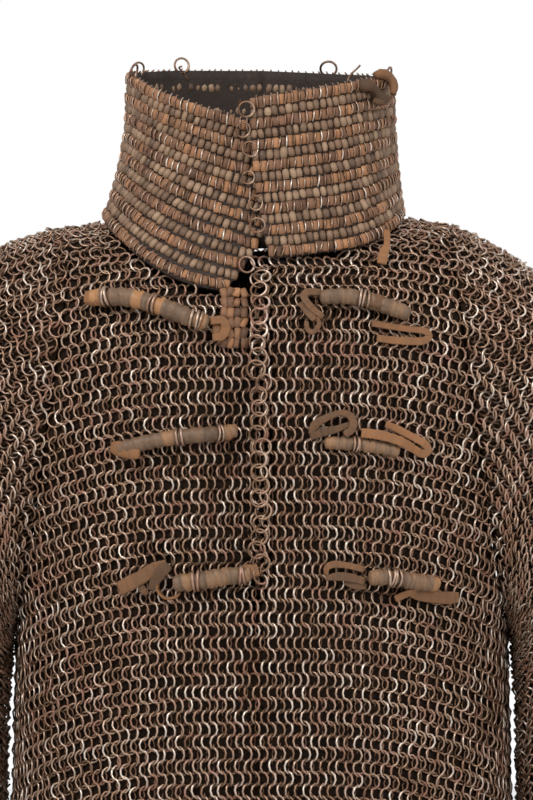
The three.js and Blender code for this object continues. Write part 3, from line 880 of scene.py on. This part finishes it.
def old_leather(name, dark, light, red, scale, gloss):
    """Leather with grime in its folds. Each piece's 'tone' moves it from dark to light."""
    material, nodes, link, hide = new_finish(name)
    place = nodes.new("ShaderNodeTexCoord").outputs["Object"]
    grain = noise(nodes, link, place, scale * 6, 4, 0.65)
    cloud = noise(nodes, link, place, scale, 4)
    tone = maths(nodes, link, "MULTIPLY", attribute(nodes, "tone"), 0.75)
    tone = maths(nodes, link, "ADD", tone, maths(nodes, link, "MULTIPLY", cloud, 0.35))
    tone = maths(nodes, link, "ADD", tone, maths(nodes, link, "MULTIPLY", grain, 0.25))
    colour = ramp(nodes, link, tone, [(0.2, dark), (0.62, light), (1.0, red)])
    link(colour, hide.inputs["Base Color"])
    link(ramp(nodes, link, grain, [(0.25, grey(gloss)), (0.75, grey(min(gloss + 0.35, 1)))]),
         hide.inputs["Roughness"])
    hide.inputs["Specular IOR Level"].default_value = 0.3
    bump(nodes, link, grain, hide, 0.0006, 0.9)
    return material


thong_finish = old_leather("laced thong", (0.030, 0.013, 0.006), (0.125, 0.060, 0.030),
                           (0.25, 0.115, 0.050), 60, 0.5)
lump_finish = old_leather("pressed leather", (0.034, 0.018, 0.010), (0.125, 0.072, 0.041),
                          (0.21, 0.135, 0.082), 70, 0.35)
lining_finish = old_leather("collar's inner face", (0.012, 0.007, 0.005), (0.035, 0.020, 0.013),
                            (0.06, 0.035, 0.02), 60, 0.6)

# %% Small parts of the collar


def cushion(name, width, height, depth, squareness, cuts=2):
    """A rounded block: a cube whose corners are drawn in, more or less."""
    steps = np.linspace(-1, 1, cuts + 1)
    points, faces, known = [], [], {}

    def vertex(p):
        key = tuple(np.round(p, 5))
        if key not in known:
            known[key] = len(points)
            q = np.array(p)
            length = (np.abs(q) ** squareness).sum() ** (1 / squareness)
            points.append(tuple(q / length * np.array([width, height, depth]) / 2 * METRE))
        return known[key]

    for axis in range(3):
        for sign in (-1, 1):
            for i in range(cuts):
                for j in range(cuts):
                    ring = []
                    for a, b in ((i, j), (i + 1, j), (i + 1, j + 1), (i, j + 1)):
                        p = [0.0, 0.0, 0.0]
                        p[axis] = sign
                        p[(axis + 1) % 3] = steps[a]
                        p[(axis + 2) % 3] = steps[b]
                        ring.append(vertex(p))
                    faces.append(ring if sign > 0 else ring[::-1])
    mesh = bpy.data.meshes.new(name)
    mesh.from_pydata(points, [], faces)
    mesh.shade_smooth()
    return mesh


COLLAR_ROWS = 15
LUMP_PITCH = 4.7
lump = cushion("lump", 4.9, 7.6, 5.4, 2.6, 2)
square = cushion("thong square", 4.7, 7.2, 3.6, 6.0, 2)
wire = tube_ring("wire over the thong", 7, 3, radius=5.0, wire=0.62, start=-1.25, end=1.25)


def collar_row(side, rise, pitch, offset):
    """Places and directions along one row of the collar."""
    share = np.linspace(0, 1, 400)
    line = collar_point(side, share, rise)
    length = np.concatenate([[0], np.cumsum(np.linalg.norm(np.diff(line, axis=0), axis=1))])
    stops = np.arange(pitch * (0.5 + offset), length[-1], pitch)
    at = np.interp(stops, length, share)
    here, ahead = collar_point(side, at, rise), collar_point(side, at + 1e-3, rise)
    above = collar_point(side, at, rise + 0.01)
    along, up = unit(ahead - here) * side, unit(above - here)
    out = unit(np.cross(along, up))
    up = np.cross(out, along)
    return here, along, up, out


def collar_parts(side):
    """Frames of the lumps, the thong squares and the wires, for every row."""
    groups = {"lumps": [], "squares": [], "wires": []}
    for row in range(COLLAR_ROWS):
        rise = (row + 0.5) / COLLAR_ROWS
        laced = row % 2 == 0
        here, along, up, out = collar_row(side, rise, LUMP_PITCH, 0.0)
        groups["squares" if laced else "lumps"].append((here, along, up, out))
        if laced:
            between = collar_row(side, rise, LUMP_PITCH, 0.5)
            groups["wires"].append(between)
    return {key: [np.concatenate(part) for part in zip(*value)] for key, value in groups.items()}


WIRE_SLANT = 0.22


def dress_collar(side, word):
    parts = collar_parts(side)
    made = []
    for key, small, raised, material in (("lumps", lump, 1.0, lump_finish),
                                         ("squares", square, 1.4, thong_finish)):
        here, along, up, out = parts[key]
        count = len(here)
        frames = turned(np.stack([along, up, out], axis=2), 0.10)
        places = here + out * (raised + rng.normal(0, 0.35, (count, 1))) + rng.normal(0, 0.2, (count, 3))
        sizes = 1 + rng.normal(0, 0.075, (count, 3))
        made.append(strew(f"collar_{word}_{key}", small, places, frames, sizes,
                          rng.beta(2.2, 2.4, count), material))
    here, along, up, out = parts["wires"]
    slant = rng.normal(WIRE_SLANT * side, 0.09, (len(here), 1))
    across = unit(up + along * slant)
    frames = turned(np.stack([out, across, unit(np.cross(out, across))], axis=2), 0.05)
    made.append(strew(f"collar_{word}_wires", wire, here - out * 1.2, frames,
                      1 + rng.normal(0, 0.03, (len(here), 1)), rng.beta(2, 3, len(here)),
                      iron_finish))
    return made


def collar_grid(side):
    share = np.linspace(0, 1, 61)
    foot = -0.03 * smooth((share - 0.5) / 0.15)      # behind, it reaches down to the back's edge
    return np.array([collar_point(side, share, lerp(foot, 1, rise)) for rise in np.linspace(1, 0, 23)])


for side, word in ((LEFT, "left"), (RIGHT, "right")):
    made = dress_collar(side, word)
    grid = collar_grid(side)
    band = ride(walled("collar_band_" + word, grid, 2.4, lining_finish))
    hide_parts("collar_" + word)

# %% [markdown]
# ## Edges of the collar
# Some of the collar's rings have lost their lacing and hang open along the flaps' front edges, and
# a few wire ends stick out of the rim.

# %% Loose rings and wire ends
edge_ring = tube_ring("edge ring", 16, 5, radius=5.2, wire=0.8)
RIGHT_EDGE = [(0.93, -2.5), (0.80, -5.0), (0.68, -1.0), (0.50, -4.0), (0.34, -1.5), (0.2, -3.0)]
LEFT_EDGE = [(0.62, 3.0), (0.40, 2.5), (0.17, 1.0)]
RIM_RINGS = [(LEFT, 0.47, 1.03, 1.3), (LEFT, 0.80, 1.03, 0.2), (RIGHT, 0.83, 1.03, 0.5),
             (LEFT, 0.62, 1.02, 0.9), (RIGHT, 0.55, 1.02, 1.2)]
FACE_ON = np.array([[1, 0, 0], [0, 0, -1], [0, 1, 0]], float)   # a ring that faces the front


def loose_rings():
    places, turns = [], []
    for side, table in ((RIGHT, RIGHT_EDGE), (LEFT, LEFT_EDGE)):
        for rise, shift in table:
            places.append(collar_point(side, 0.0, rise) + np.array([shift, -4.2, 0.0]))
            turns.append(0.25)
    for side, share, rise, turn in RIM_RINGS:
        places.append(collar_point(side, share, rise))
        turns.append(turn)
    frames = []
    for turn in turns:
        c, s = np.cos(turn), np.sin(turn)
        frames.append(np.array([[c, -s, 0], [s, c, 0], [0, 0, 1]]) @ FACE_ON)
    count = len(places)
    return strew("collar_loose_rings", edge_ring, np.array(places), turned(np.array(frames), 0.25),
                 1 + rng.normal(0, 0.06, (count, 1)), rng.uniform(0.35, 0.8, count), iron_finish)


loose_rings()


def wire_mesh(points, radius, sides=6):
    """A round wire through points, closed at its ends."""
    line = smoothed(np.array(points, float), 4)
    along = unit(np.gradient(line, axis=0))
    helper = np.array([0.3, 0.9, 0.2])
    across = unit(np.cross(along, helper))
    out = np.cross(across, along)
    turn = 2 * np.pi * np.arange(sides) / sides
    ring = np.cos(turn)[None, :, None] * across[:, None] + np.sin(turn)[None, :, None] * out[:, None]
    return line[:, None] + ring * radius


def tube_piece(name, grid, material, tones=None):
    """A closed bar whose sections are the rows of the grid, with flat ends."""
    rows, sides = grid.shape[:2]
    faces = [(i * sides + k, i * sides + (k + 1) % sides,
              (i + 1) * sides + (k + 1) % sides, (i + 1) * sides + k)
             for i in range(rows - 1) for k in range(sides)]
    faces.append(tuple(range(sides))[::-1])
    faces.append(tuple(range((rows - 1) * sides, rows * sides)))
    mesh = bpy.data.meshes.new(name)
    points = grid.reshape(-1, 3)
    mesh.from_pydata([tuple(p) for p in points * METRE], [], faces)
    corner = points[np.array([f[:3] for f in faces[:-2]])] - points.mean(axis=0)
    if np.sum(corner[:, 0] * np.cross(corner[:, 1], corner[:, 2])) < 0:
        mesh.flip_normals()
    mesh.shade_smooth()
    if tones is not None:
        values = np.repeat(np.asarray(tones, np.float32), sides)
        mesh.attributes.new("tone", "FLOAT", "POINT").data.foreach_set("value", values)
    mesh.materials.append(material)
    piece = bpy.data.objects.new(name, mesh)
    bpy.context.scene.collection.objects.link(piece)
    return ride(piece)


WIRE_ENDS = {
    "wire_end_left": [(-50, 40, 101), (-53, 36, 106), (-56, 33, 109.5), (-54, 32, 110.5)],
    "wire_end_right": [(57, -42, 98), (59, -41, 103), (63, -40, 107), (66, -40, 110)],
}
for name, points in WIRE_ENDS.items():
    tube_piece(name, wire_mesh(points, 0.65), iron_finish, np.full(13, 0.3))

# %% [markdown]
# ## Leather laced through the chest
# Six rolls cross the chest, three on each side of the slit. Each one is a flat thong wound round
# and round a core, so every turn lies on the edge of the last, and pairs of rings bind it to the
# mail. The roll is one skin whose radius climbs along each turn and drops to the next. The thong's
# ends are left as folded straps, loops and knots, which are flat ribbons with their own thickness.

# %% Places on the chest
REST_GAP = 1.0


def on_front(x, z):
    side = LEFT if x < 0 else RIGHT
    x, z = np.float64(x), np.float64(z)
    return on_body("front", side, x, z)


def out_of_front(x, z):
    side = LEFT if x < 0 else RIGHT
    across = on_body("front", side, np.float64(x + 1), z) - on_body("front", side, np.float64(x - 1), z)
    up = on_body("front", side, np.float64(x), z + 1) - on_body("front", side, np.float64(x), z - 1)
    return unit(np.cross(across, up))


def chest_line(route, steps):
    """Places along a smooth line on the chest, with directions along, across and out. A row of the
    route is x, z, height over the mail and then any other values, which are carried along."""
    table = smoothed(np.array(route, float), steps)
    out = np.array([out_of_front(x, z) for x, z in table[:, :2]])
    base = np.array([on_front(x, z) for x, z in table[:, :2]])
    places = base + out * (MAIL_WALL / 2 + REST_GAP + table[:, 2:3])
    along = unit(np.gradient(places, axis=0))
    across = unit(np.cross(along, out))
    return places, along, across, np.cross(across, along), table[:, 3:]


# %% Wound rolls
ROLL_SIDES = 16
ROLL_STEPS = 24               # between two points of a roll's route
TIES = {
    # name: radius, route, pitch of the turns, places of the binding rings, tones of the turns
    "tie_left_top": (6.4, [(-111, -50), (-90, -50), (-68, -55), (-38, -66)], 7.6,
                     (0.13, 0.155, 0.53, 0.555, 0.87, 0.90, 0.93), (0.9, 0.3, 0.25, 0.35, 0.85, 0.3)),
    "tie_left_middle": (5.4, [(-93, -147), (-66, -141), (-42, -138), (-16, -135)], 6.6,
                        (0.50, 0.535, 0.83, 0.86), (0.35, 0.25, 0.3, 0.2, 0.3, 0.6)),
    "tie_left_bottom": (6.3, [(-57, -237), (-40, -235), (-22, -234), (-7, -233)], 7.4,
                        (0.27, 0.32, 0.86, 0.90), (0.35, 0.6, 0.3, 0.55, 0.5)),
    "tie_right_top": (5.7, [(38, -50), (56, -49.5), (74, -53), (96, -60)], 7.0,
                      (0.44, 0.475, 0.51), (0.35, 0.3, 0.45, 0.3, 0.5)),
    "tie_right_middle": (4.7, [(41, -143), (58, -144), (74, -146), (89, -149)], 6.6,
                         (0.38, 0.42, 0.46), (0.6, 0.45, 0.4, 0.5)),
    "tie_right_bottom": (5.9, [(69, -233), (84, -233), (98, -235.5), (113, -237.5)], 6.4,
                         (0.27, 0.31, 0.35, 0.39), (0.5, 0.35, 0.7, 0.2, 0.4)),
}
roll_finish = old_leather("wound thong", (0.018, 0.010, 0.005), (0.115, 0.066, 0.036),
                          (0.24, 0.112, 0.042), 80, 0.35)


def wound_roll(name, radius, route, pitch, bindings, tones):
    """The skin of a thong wound round a core, and its binding rings."""
    knots = [(x, z, radius) for x, z in route]
    places, _, across, out, _ = chest_line(knots, ROLL_STEPS)
    length = np.concatenate([[0], np.cumsum(np.linalg.norm(np.diff(places, axis=0), axis=1))])
    share = length / length[-1]
    turn = 2 * np.pi * np.arange(ROLL_SIDES) / ROLL_SIDES
    wind = (length[:, None] / pitch + turn[None] / (2 * np.pi)) % 1
    shingle = (1 - wind) ** 0.7 * smooth(wind * 7)
    facet = 0.045 * np.cos(3 * turn[None] + 9 * length[:, None] / pitch)
    taper = 0.5 + 0.5 * crown(2 * share - 1, 5)
    squeeze = 1 - 0.16 * sum(np.exp(-((share - b) * length[-1] / 1.3) ** 2) for b in bindings)
    reach = radius * (taper * squeeze)[:, None] * (0.84 + 0.2 * shingle + facet)
    skin = (places[:, None] + across[:, None] * (reach * np.cos(turn))[..., None]
            + out[:, None] * (reach * np.sin(turn))[..., None])
    number = np.floor(length / pitch).astype(int) % len(tones)
    tone = np.array(tones)[number] + rng.normal(0, 0.05, len(length))
    roll = tube_piece(name.replace("tie", "roll"), skin, roll_finish, tone)
    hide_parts(name)
    at = np.array([np.interp(b, share, np.arange(len(share))) for b in bindings]).round().astype(int)
    frames = np.stack([out[at], across[at], np.cross(out[at], across[at])], axis=2)
    sizes = (radius * taper[at] * 0.92 + 0.7)[:, None] / 5.2 * np.array([[1, 1, 1]])
    strew(name.replace("tie", "rings"), edge_ring, places[at], turned(frames, 0.09), sizes,
          rng.uniform(0.3, 0.75, len(at)), iron_finish)
    return roll


for name, (radius, route, pitch, bindings, tones) in TIES.items():
    wound_roll(name, radius, route, pitch, bindings, tones)

# %% [markdown]
# The straps are ribbons: a flat section with rounded edges, a little cupped, that follows a line
# over the chest. Where a strap stands on its edge, its section is tipped.

# %% Straps, loops and knots
strap_finish = old_leather("strap leather", (0.016, 0.008, 0.004), (0.078, 0.038, 0.017),
                           (0.17, 0.074, 0.028), 50, 0.6)
RIBBON_SIDES = 12


def ribbon(name, route, thick, tone, material=None, cup=0.25):
    """A strap. A row of the route is x, z, height over the mail, width and tip in degrees."""
    places, _, across, out, more = chest_line(route, 6)
    width, tip = more[:, 0], np.radians(more[:, 1])
    c, s = np.cos(tip)[:, None], np.sin(tip)[:, None]
    across, out = across * c + out * s, out * c - across * s
    turn = 2 * np.pi * np.arange(RIBBON_SIDES) / RIBBON_SIDES
    side = np.sign(np.cos(turn)) * np.abs(np.cos(turn)) ** 0.55
    high = np.sign(np.sin(turn)) * np.abs(np.sin(turn)) ** 0.75
    rough = 1 + rng.normal(0, 0.03, len(places))
    a = side[None] * (width * rough)[:, None] / 2
    b = high[None] * thick / 2 + cup * thick * (side[None] ** 2 - 0.5)
    skin = places[:, None] + across[:, None] * a[..., None] + out[:, None] * b[..., None]
    tones = tone + rng.normal(0, 0.05, len(places))
    piece = tube_piece(name, skin, material or strap_finish, tones)
    return piece, places


def strap_cord(name, node, route, thick, tone):
    """A strap with a free end is a flat cord, made as a ribbon that takes the place of its solid."""
    piece, places = ribbon(name, route, thick, tone)
    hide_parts(node)


def bent(name, node, routes):
    """Several ribbons that stand for one solid."""
    for number, (route, thick, tone) in enumerate(routes):
        piece, _ = ribbon(f"{name}_{number + 1}", route, thick, tone)
        if number == 0:
            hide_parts(node)


strap_cord("strap_right_top_end", "strap_right_top",
           [(72, -65, 3, 5.2, 20), (84, -67, 3, 5, 25), (96, -68.5, 2.5, 4.6, 20),
            (106, -69.5, 2, 4.6, 0), (109.5, -72.6, 2, 5, 0), (105.5, -75.8, 2, 5.4, -8),
            (94, -75.8, 2, 5.6, -10), (84, -75.2, 2, 5.4, -10), (75.5, -74, 2, 4.6, 0)], 2.0, 0.72)
strap_cord("strap_right_middle_end", "strap_right_middle",
           [(64, -136.5, 8.5, 6.4, 0), (76, -138, 9.5, 6.6, 5), (88.5, -142, 9.5, 6.6, 10),
            (98, -147, 5, 6, 10), (104.5, -150.5, 3, 5.6, 0), (108.3, -148.5, 2.4, 5.8, 0),
            (106.5, -144, 2.4, 5.8, -10), (95.5, -137.8, 2.6, 5.6, -15), (86, -132.8, 2.6, 5.2, -10),
            (81, -131, 2.2, 4.2, 0)], 2.0, 0.85)
bent("knot_left_top", "knob_left_top", [
    ([(-37, -64.5, 6, 5, 0), (-30, -64, 6.5, 6, 0), (-26.5, -68, 6, 6.5, 0), (-29, -73, 5, 6, 0),
      (-35, -74, 4, 4.5, 0)], 3.6, 0.75),
    ([(-35, -69.5, 3.5, 8, 0), (-30.5, -70, 4.5, 9, 0), (-27, -71, 4, 7, 0)], 3.0, 0.6),
])
bent("knot_left_bottom", "loop_left_bottom", [
    ([(-93, -240.5, 3, 9.5, 0), (-86, -237, 3.5, 10.5, 8), (-77, -232, 4, 10, 12),
      (-69, -227, 4.5, 9, 0), (-62, -224, 4, 6, 0)], 3.0, 0.6),
    ([(-60, -224.5, 6.5, 6, 10), (-65, -230, 7.5, 8, 20), (-69.5, -236.5, 6, 6.5, 10),
      (-71.5, -241, 4, 4.5, 0)], 2.6, 0.3),
    ([(-67, -234, 5, 3, 75), (-67.5, -241, 5, 3.4, 80), (-63, -246.5, 4.5, 3.4, 80),
      (-56.5, -246, 4, 3, 80), (-53.5, -243, 3.5, 2.6, 80)], 1.8, 0.8),
    ([(-79.5, -236, 3, 4, 0), (-77, -241.5, 4, 5, 0), (-74.5, -244, 3, 3.5, 0)], 2.2, 0.35),
])
bent("knot_right_top", "loop_right_top", [
    ([(39, -47, 5, 5, 0), (30, -47, 5.5, 5.4, 0), (27.5, -50, 5.5, 5, 0), (32.5, -56.5, 5.5, 5, 10),
      (40, -61.5, 3.5, 4, 0)], 2.4, 0.5),
    ([(25.5, -52.5, 3.5, 4.6, 0), (29.5, -58, 4.5, 5.2, 0), (34.5, -63.5, 4.5, 4, 0)], 2.4, 0.45),
    ([(35.5, -61.5, 3.5, 3, 0), (37.5, -65.5, 3.5, 3.2, 0), (34, -70.3, 3.5, 3.6, 0),
      (30, -69, 3.5, 3.4, 0), (29, -64, 3.5, 3, 0)], 2.6, 0.5),
])
bent("loop_right_middle_strap", "loop_right_middle", [
    ([(32.5, -137.5, 3, 4.5, 0), (35, -131, 4, 6.2, 0), (41.5, -127, 4.5, 5, 15),
      (50, -123.5, 4.5, 4.2, 20), (56.5, -124.5, 4.5, 5, 0), (59.6, -129.5, 5, 5.6, 0),
      (57.5, -135, 7, 5.2, 0), (53, -137.5, 8.5, 4, 0)], 2.2, 0.42),
    ([(32, -139.5, 3, 4, 0), (40.5, -136, 6.5, 5.6, 0), (48.5, -134, 7, 4.8, 0),
      (56, -131, 6, 3.6, 0)], 2.4, 0.3),
])
bent("loop_right_bottom_strap", "loop_right_bottom", [
    ([(42, -231.5, 3, 3.5, 60), (42.5, -226.5, 3.5, 4.4, 30), (47, -224.2, 4, 4.8, 0),
      (55.5, -225, 4.5, 4.4, 10), (66, -227.5, 5, 4.4, 0)], 2.0, 0.62),
    ([(41.5, -233.5, 3, 3, 0), (49, -232.3, 4, 5.6, 0), (57, -233, 4.5, 5.8, 0), (67, -235.5, 4, 5, 0)],
     2.4, 0.42),
    ([(54, -236, 2.5, 3.6, 0), (61, -238.5, 3.5, 5, 0), (68, -239, 3, 4, 0)], 2.2, 0.35),
])
bent("strap_right_bottom_end", "strap_right_bottom", [
    ([(96.5, -242.5, 3.5, 6.4, 0), (102, -244.5, 3.5, 8, 0), (113, -246, 3, 8.4, 0),
      (121, -246.5, 3, 8.2, 0), (127.3, -246.3, 2.8, 7.4, 0)], 2.4, 0.62),
    ([(99.5, -241.5, 5, 4, 20), (93, -244, 4.2, 5.4, 25), (86.5, -247.3, 3.4, 4.6, 0)], 2.0, 0.75),
])
bent("tag_right_leather", "tag_right", [
    ([(82.6, -9.8, 7, 4.2, 0), (82.6, -15, 6.2, 4.6, 0), (82.3, -18, 5.4, 4.4, 0),
      (80.6, -21.5, 4.6, 6.4, 0), (79, -27.8, 3, 6.8, 0)], 2.2, 0.85),
])
for name, route, thick, tone in (
    ("end_left_top", [(-113.5, -50.2, 5.5, 9, 0), (-108, -50.2, 6.5, 10.5, 0),
                      (-102.5, -50.2, 6, 10, 0)], 8.0, 0.85),
    ("end_left_middle", [(-96.5, -146, 4, 8, 0), (-92, -147, 5.5, 10.5, 0), (-83, -149, 6, 10.5, 0),
                         (-79, -149.5, 5.5, 7, 0)], 7.5, 0.8),
    ("end_left_middle_inner", [(-27, -138.5, 6.5, 6.5, 0), (-21.5, -136, 7, 8, 0),
                               (-16.5, -132.5, 5.5, 4.5, 0)], 4.2, 0.75),
    ("end_left_bottom", [(-14, -231.5, 6, 9.5, 0), (-8, -231, 6.5, 10, 0), (-2.8, -229.5, 5, 8.5, 0)],
     4.6, 0.75),
    ("ball_right_top", [(68.6, -52.6, 6.5, 5, 0), (70.5, -52.8, 7, 9, 0), (74, -53.2, 7.2, 10.5, 0),
                        (77.5, -54, 7, 9, 0), (79.2, -54.4, 6.5, 5, 0)], 8.5, 0.4),
):
    ribbon(name, route, thick, tone, cup=0.05)

# %% [markdown]
# The right front's edge ends in a column of open rings that lie flat. Below the left flap a strip
# of the collar's laced leather runs on down the left front.

# %% Edges of the slit
def on_chest(x, z, raised):
    places = np.array([on_front(a, b) for a, b in zip(x, z)])
    out = np.array([out_of_front(a, b) for a, b in zip(x, z)])
    along = unit(np.cross(np.array([0.0, 0, 1]), out))
    frames = np.stack([along, np.cross(out, along), out], axis=2)
    return places + out * raised, turned(frames, 0.22)


def slit_rings():
    z = np.arange(-34, -238, -8.6)
    x = SLIT_X + 3.5 + rng.normal(0, 1.2, len(z))
    places, frames = on_chest(np.maximum(x, 0.1), z, 3.4)
    places[:, 0] = x
    return strew("slit_edge_rings", edge_ring, places, frames, 1.08 + rng.normal(0, 0.04, (len(z), 1)),
                 rng.uniform(0.3, 0.8, len(z)), iron_finish)


def laced_strip():
    x, z = np.meshgrid(np.arange(-26, -8, 4.7), np.arange(-45, -79, -6.4))
    places, frames = on_chest(x.ravel(), z.ravel(), 3.6)
    count = len(places)
    return strew("laced_strip", square, places + rng.normal(0, 0.3, (count, 3)), frames,
                 1.05 + rng.normal(0, 0.07, (count, 3)), rng.beta(2, 2.6, count), thong_finish)


slit_rings()
laced_strip()

# %% [markdown]
# A knot sits on the right flap's top corner: a dark lump, a limb that falls to a smaller lump, and
# an arc of red-brown thong round the corner.

# %% Knot on the collar
KNOT = [  # places, radii and tone of each limb
    ([(66, -58, 95), (69, -59, 96), (72, -58.5, 96), (75, -56, 93.5), (79, -53, 88.5),
      (82, -50.5, 86)],
     (3.6, 4.6, 4.4, 3.1, 3.0, 3.4), 0.15),
    ([(74.5, -55, 86.5), (78.5, -53, 85.5), (82.5, -49.5, 86.5), (85, -46, 88)], (2.2, 3.2, 3.2, 2.0), 0.3),
    ([(76, -48, 103), (81, -44, 104), (86, -40, 101), (88.5, -40, 96), (88, -43, 90.5)],
     (2.6, 3.6, 3.4, 3.0, 2.2), 0.62),
]
for number, (line, radii, tone) in enumerate(KNOT):
    skin = wire_mesh(line, 1.0, 10)
    middle = skin.mean(axis=1, keepdims=True)
    thick = smoothed(np.array(radii, float)[:, None], 4)
    lumpy = 1 + rng.normal(0, 0.05, skin.shape[:2])
    skin = middle + (skin - middle) * (thick * lumpy)[..., None]
    tones = np.full(len(skin), tone)
    limb = tube_piece(f"collar_knot_{number + 1}", skin, strap_finish, tones)
    if number == 0:
        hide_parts("knot_collar")

# %% [markdown]
# ## Light and floor
# A pale floor and even white surroundings with two large soft lights, as in a studio.

# %% Floor, surroundings and lights
FLOOR_GAP = 60.0              # the hem hangs this far above the floor
FLOOR_SIZE = 30000.0


def flat_floor():
    material, nodes, link, paint = new_finish("floor paint")
    place = nodes.new("ShaderNodeTexCoord").outputs["Object"]
    link(ramp(nodes, link, noise(nodes, link, place, 3), [(0.3, grey(0.8)), (0.7, grey(0.84))]),
         paint.inputs["Base Color"])
    paint.inputs["Roughness"].default_value = 0.8
    h = FLOOR_SIZE / 2 * METRE
    z = (HEM_Z - FLOOR_GAP) * METRE
    mesh = bpy.data.meshes.new("floor")
    mesh.from_pydata([(-h, -h, z), (h, -h, z), (h, h, z), (-h, h, z)], [], [(0, 1, 2, 3)])
    mesh.materials.append(material)
    floor = bpy.data.objects.new("floor", mesh)
    bpy.context.scene.collection.objects.link(floor)
    return floor


def soft_light(name, place, size, watts):
    data = bpy.data.lights.new(name, "AREA")
    data.shape = "DISK"
    data.size = size * METRE
    data.energy = watts
    light = bpy.data.objects.new(name, data)
    light.location = Vector(place) * METRE
    aim = Vector((0, 0, -150)) - Vector(place)
    light.rotation_euler = aim.to_track_quat("-Z", "Y").to_euler()
    bpy.context.scene.collection.objects.link(light)
    return light


flat_floor()
world = bpy.data.worlds.new("white room")
world.use_nodes = True
world.node_tree.nodes["Background"].inputs["Color"].default_value = (1, 1, 1, 1)
world.node_tree.nodes["Background"].inputs["Strength"].default_value = 1.0
bpy.context.scene.world = world
bpy.context.scene.view_settings.view_transform = "Standard"
soft_light("key light", (-900, -1500, 1300), 700, 45)
soft_light("fill light", (1500, -1300, 500), 900, 18)
print("lights placed")
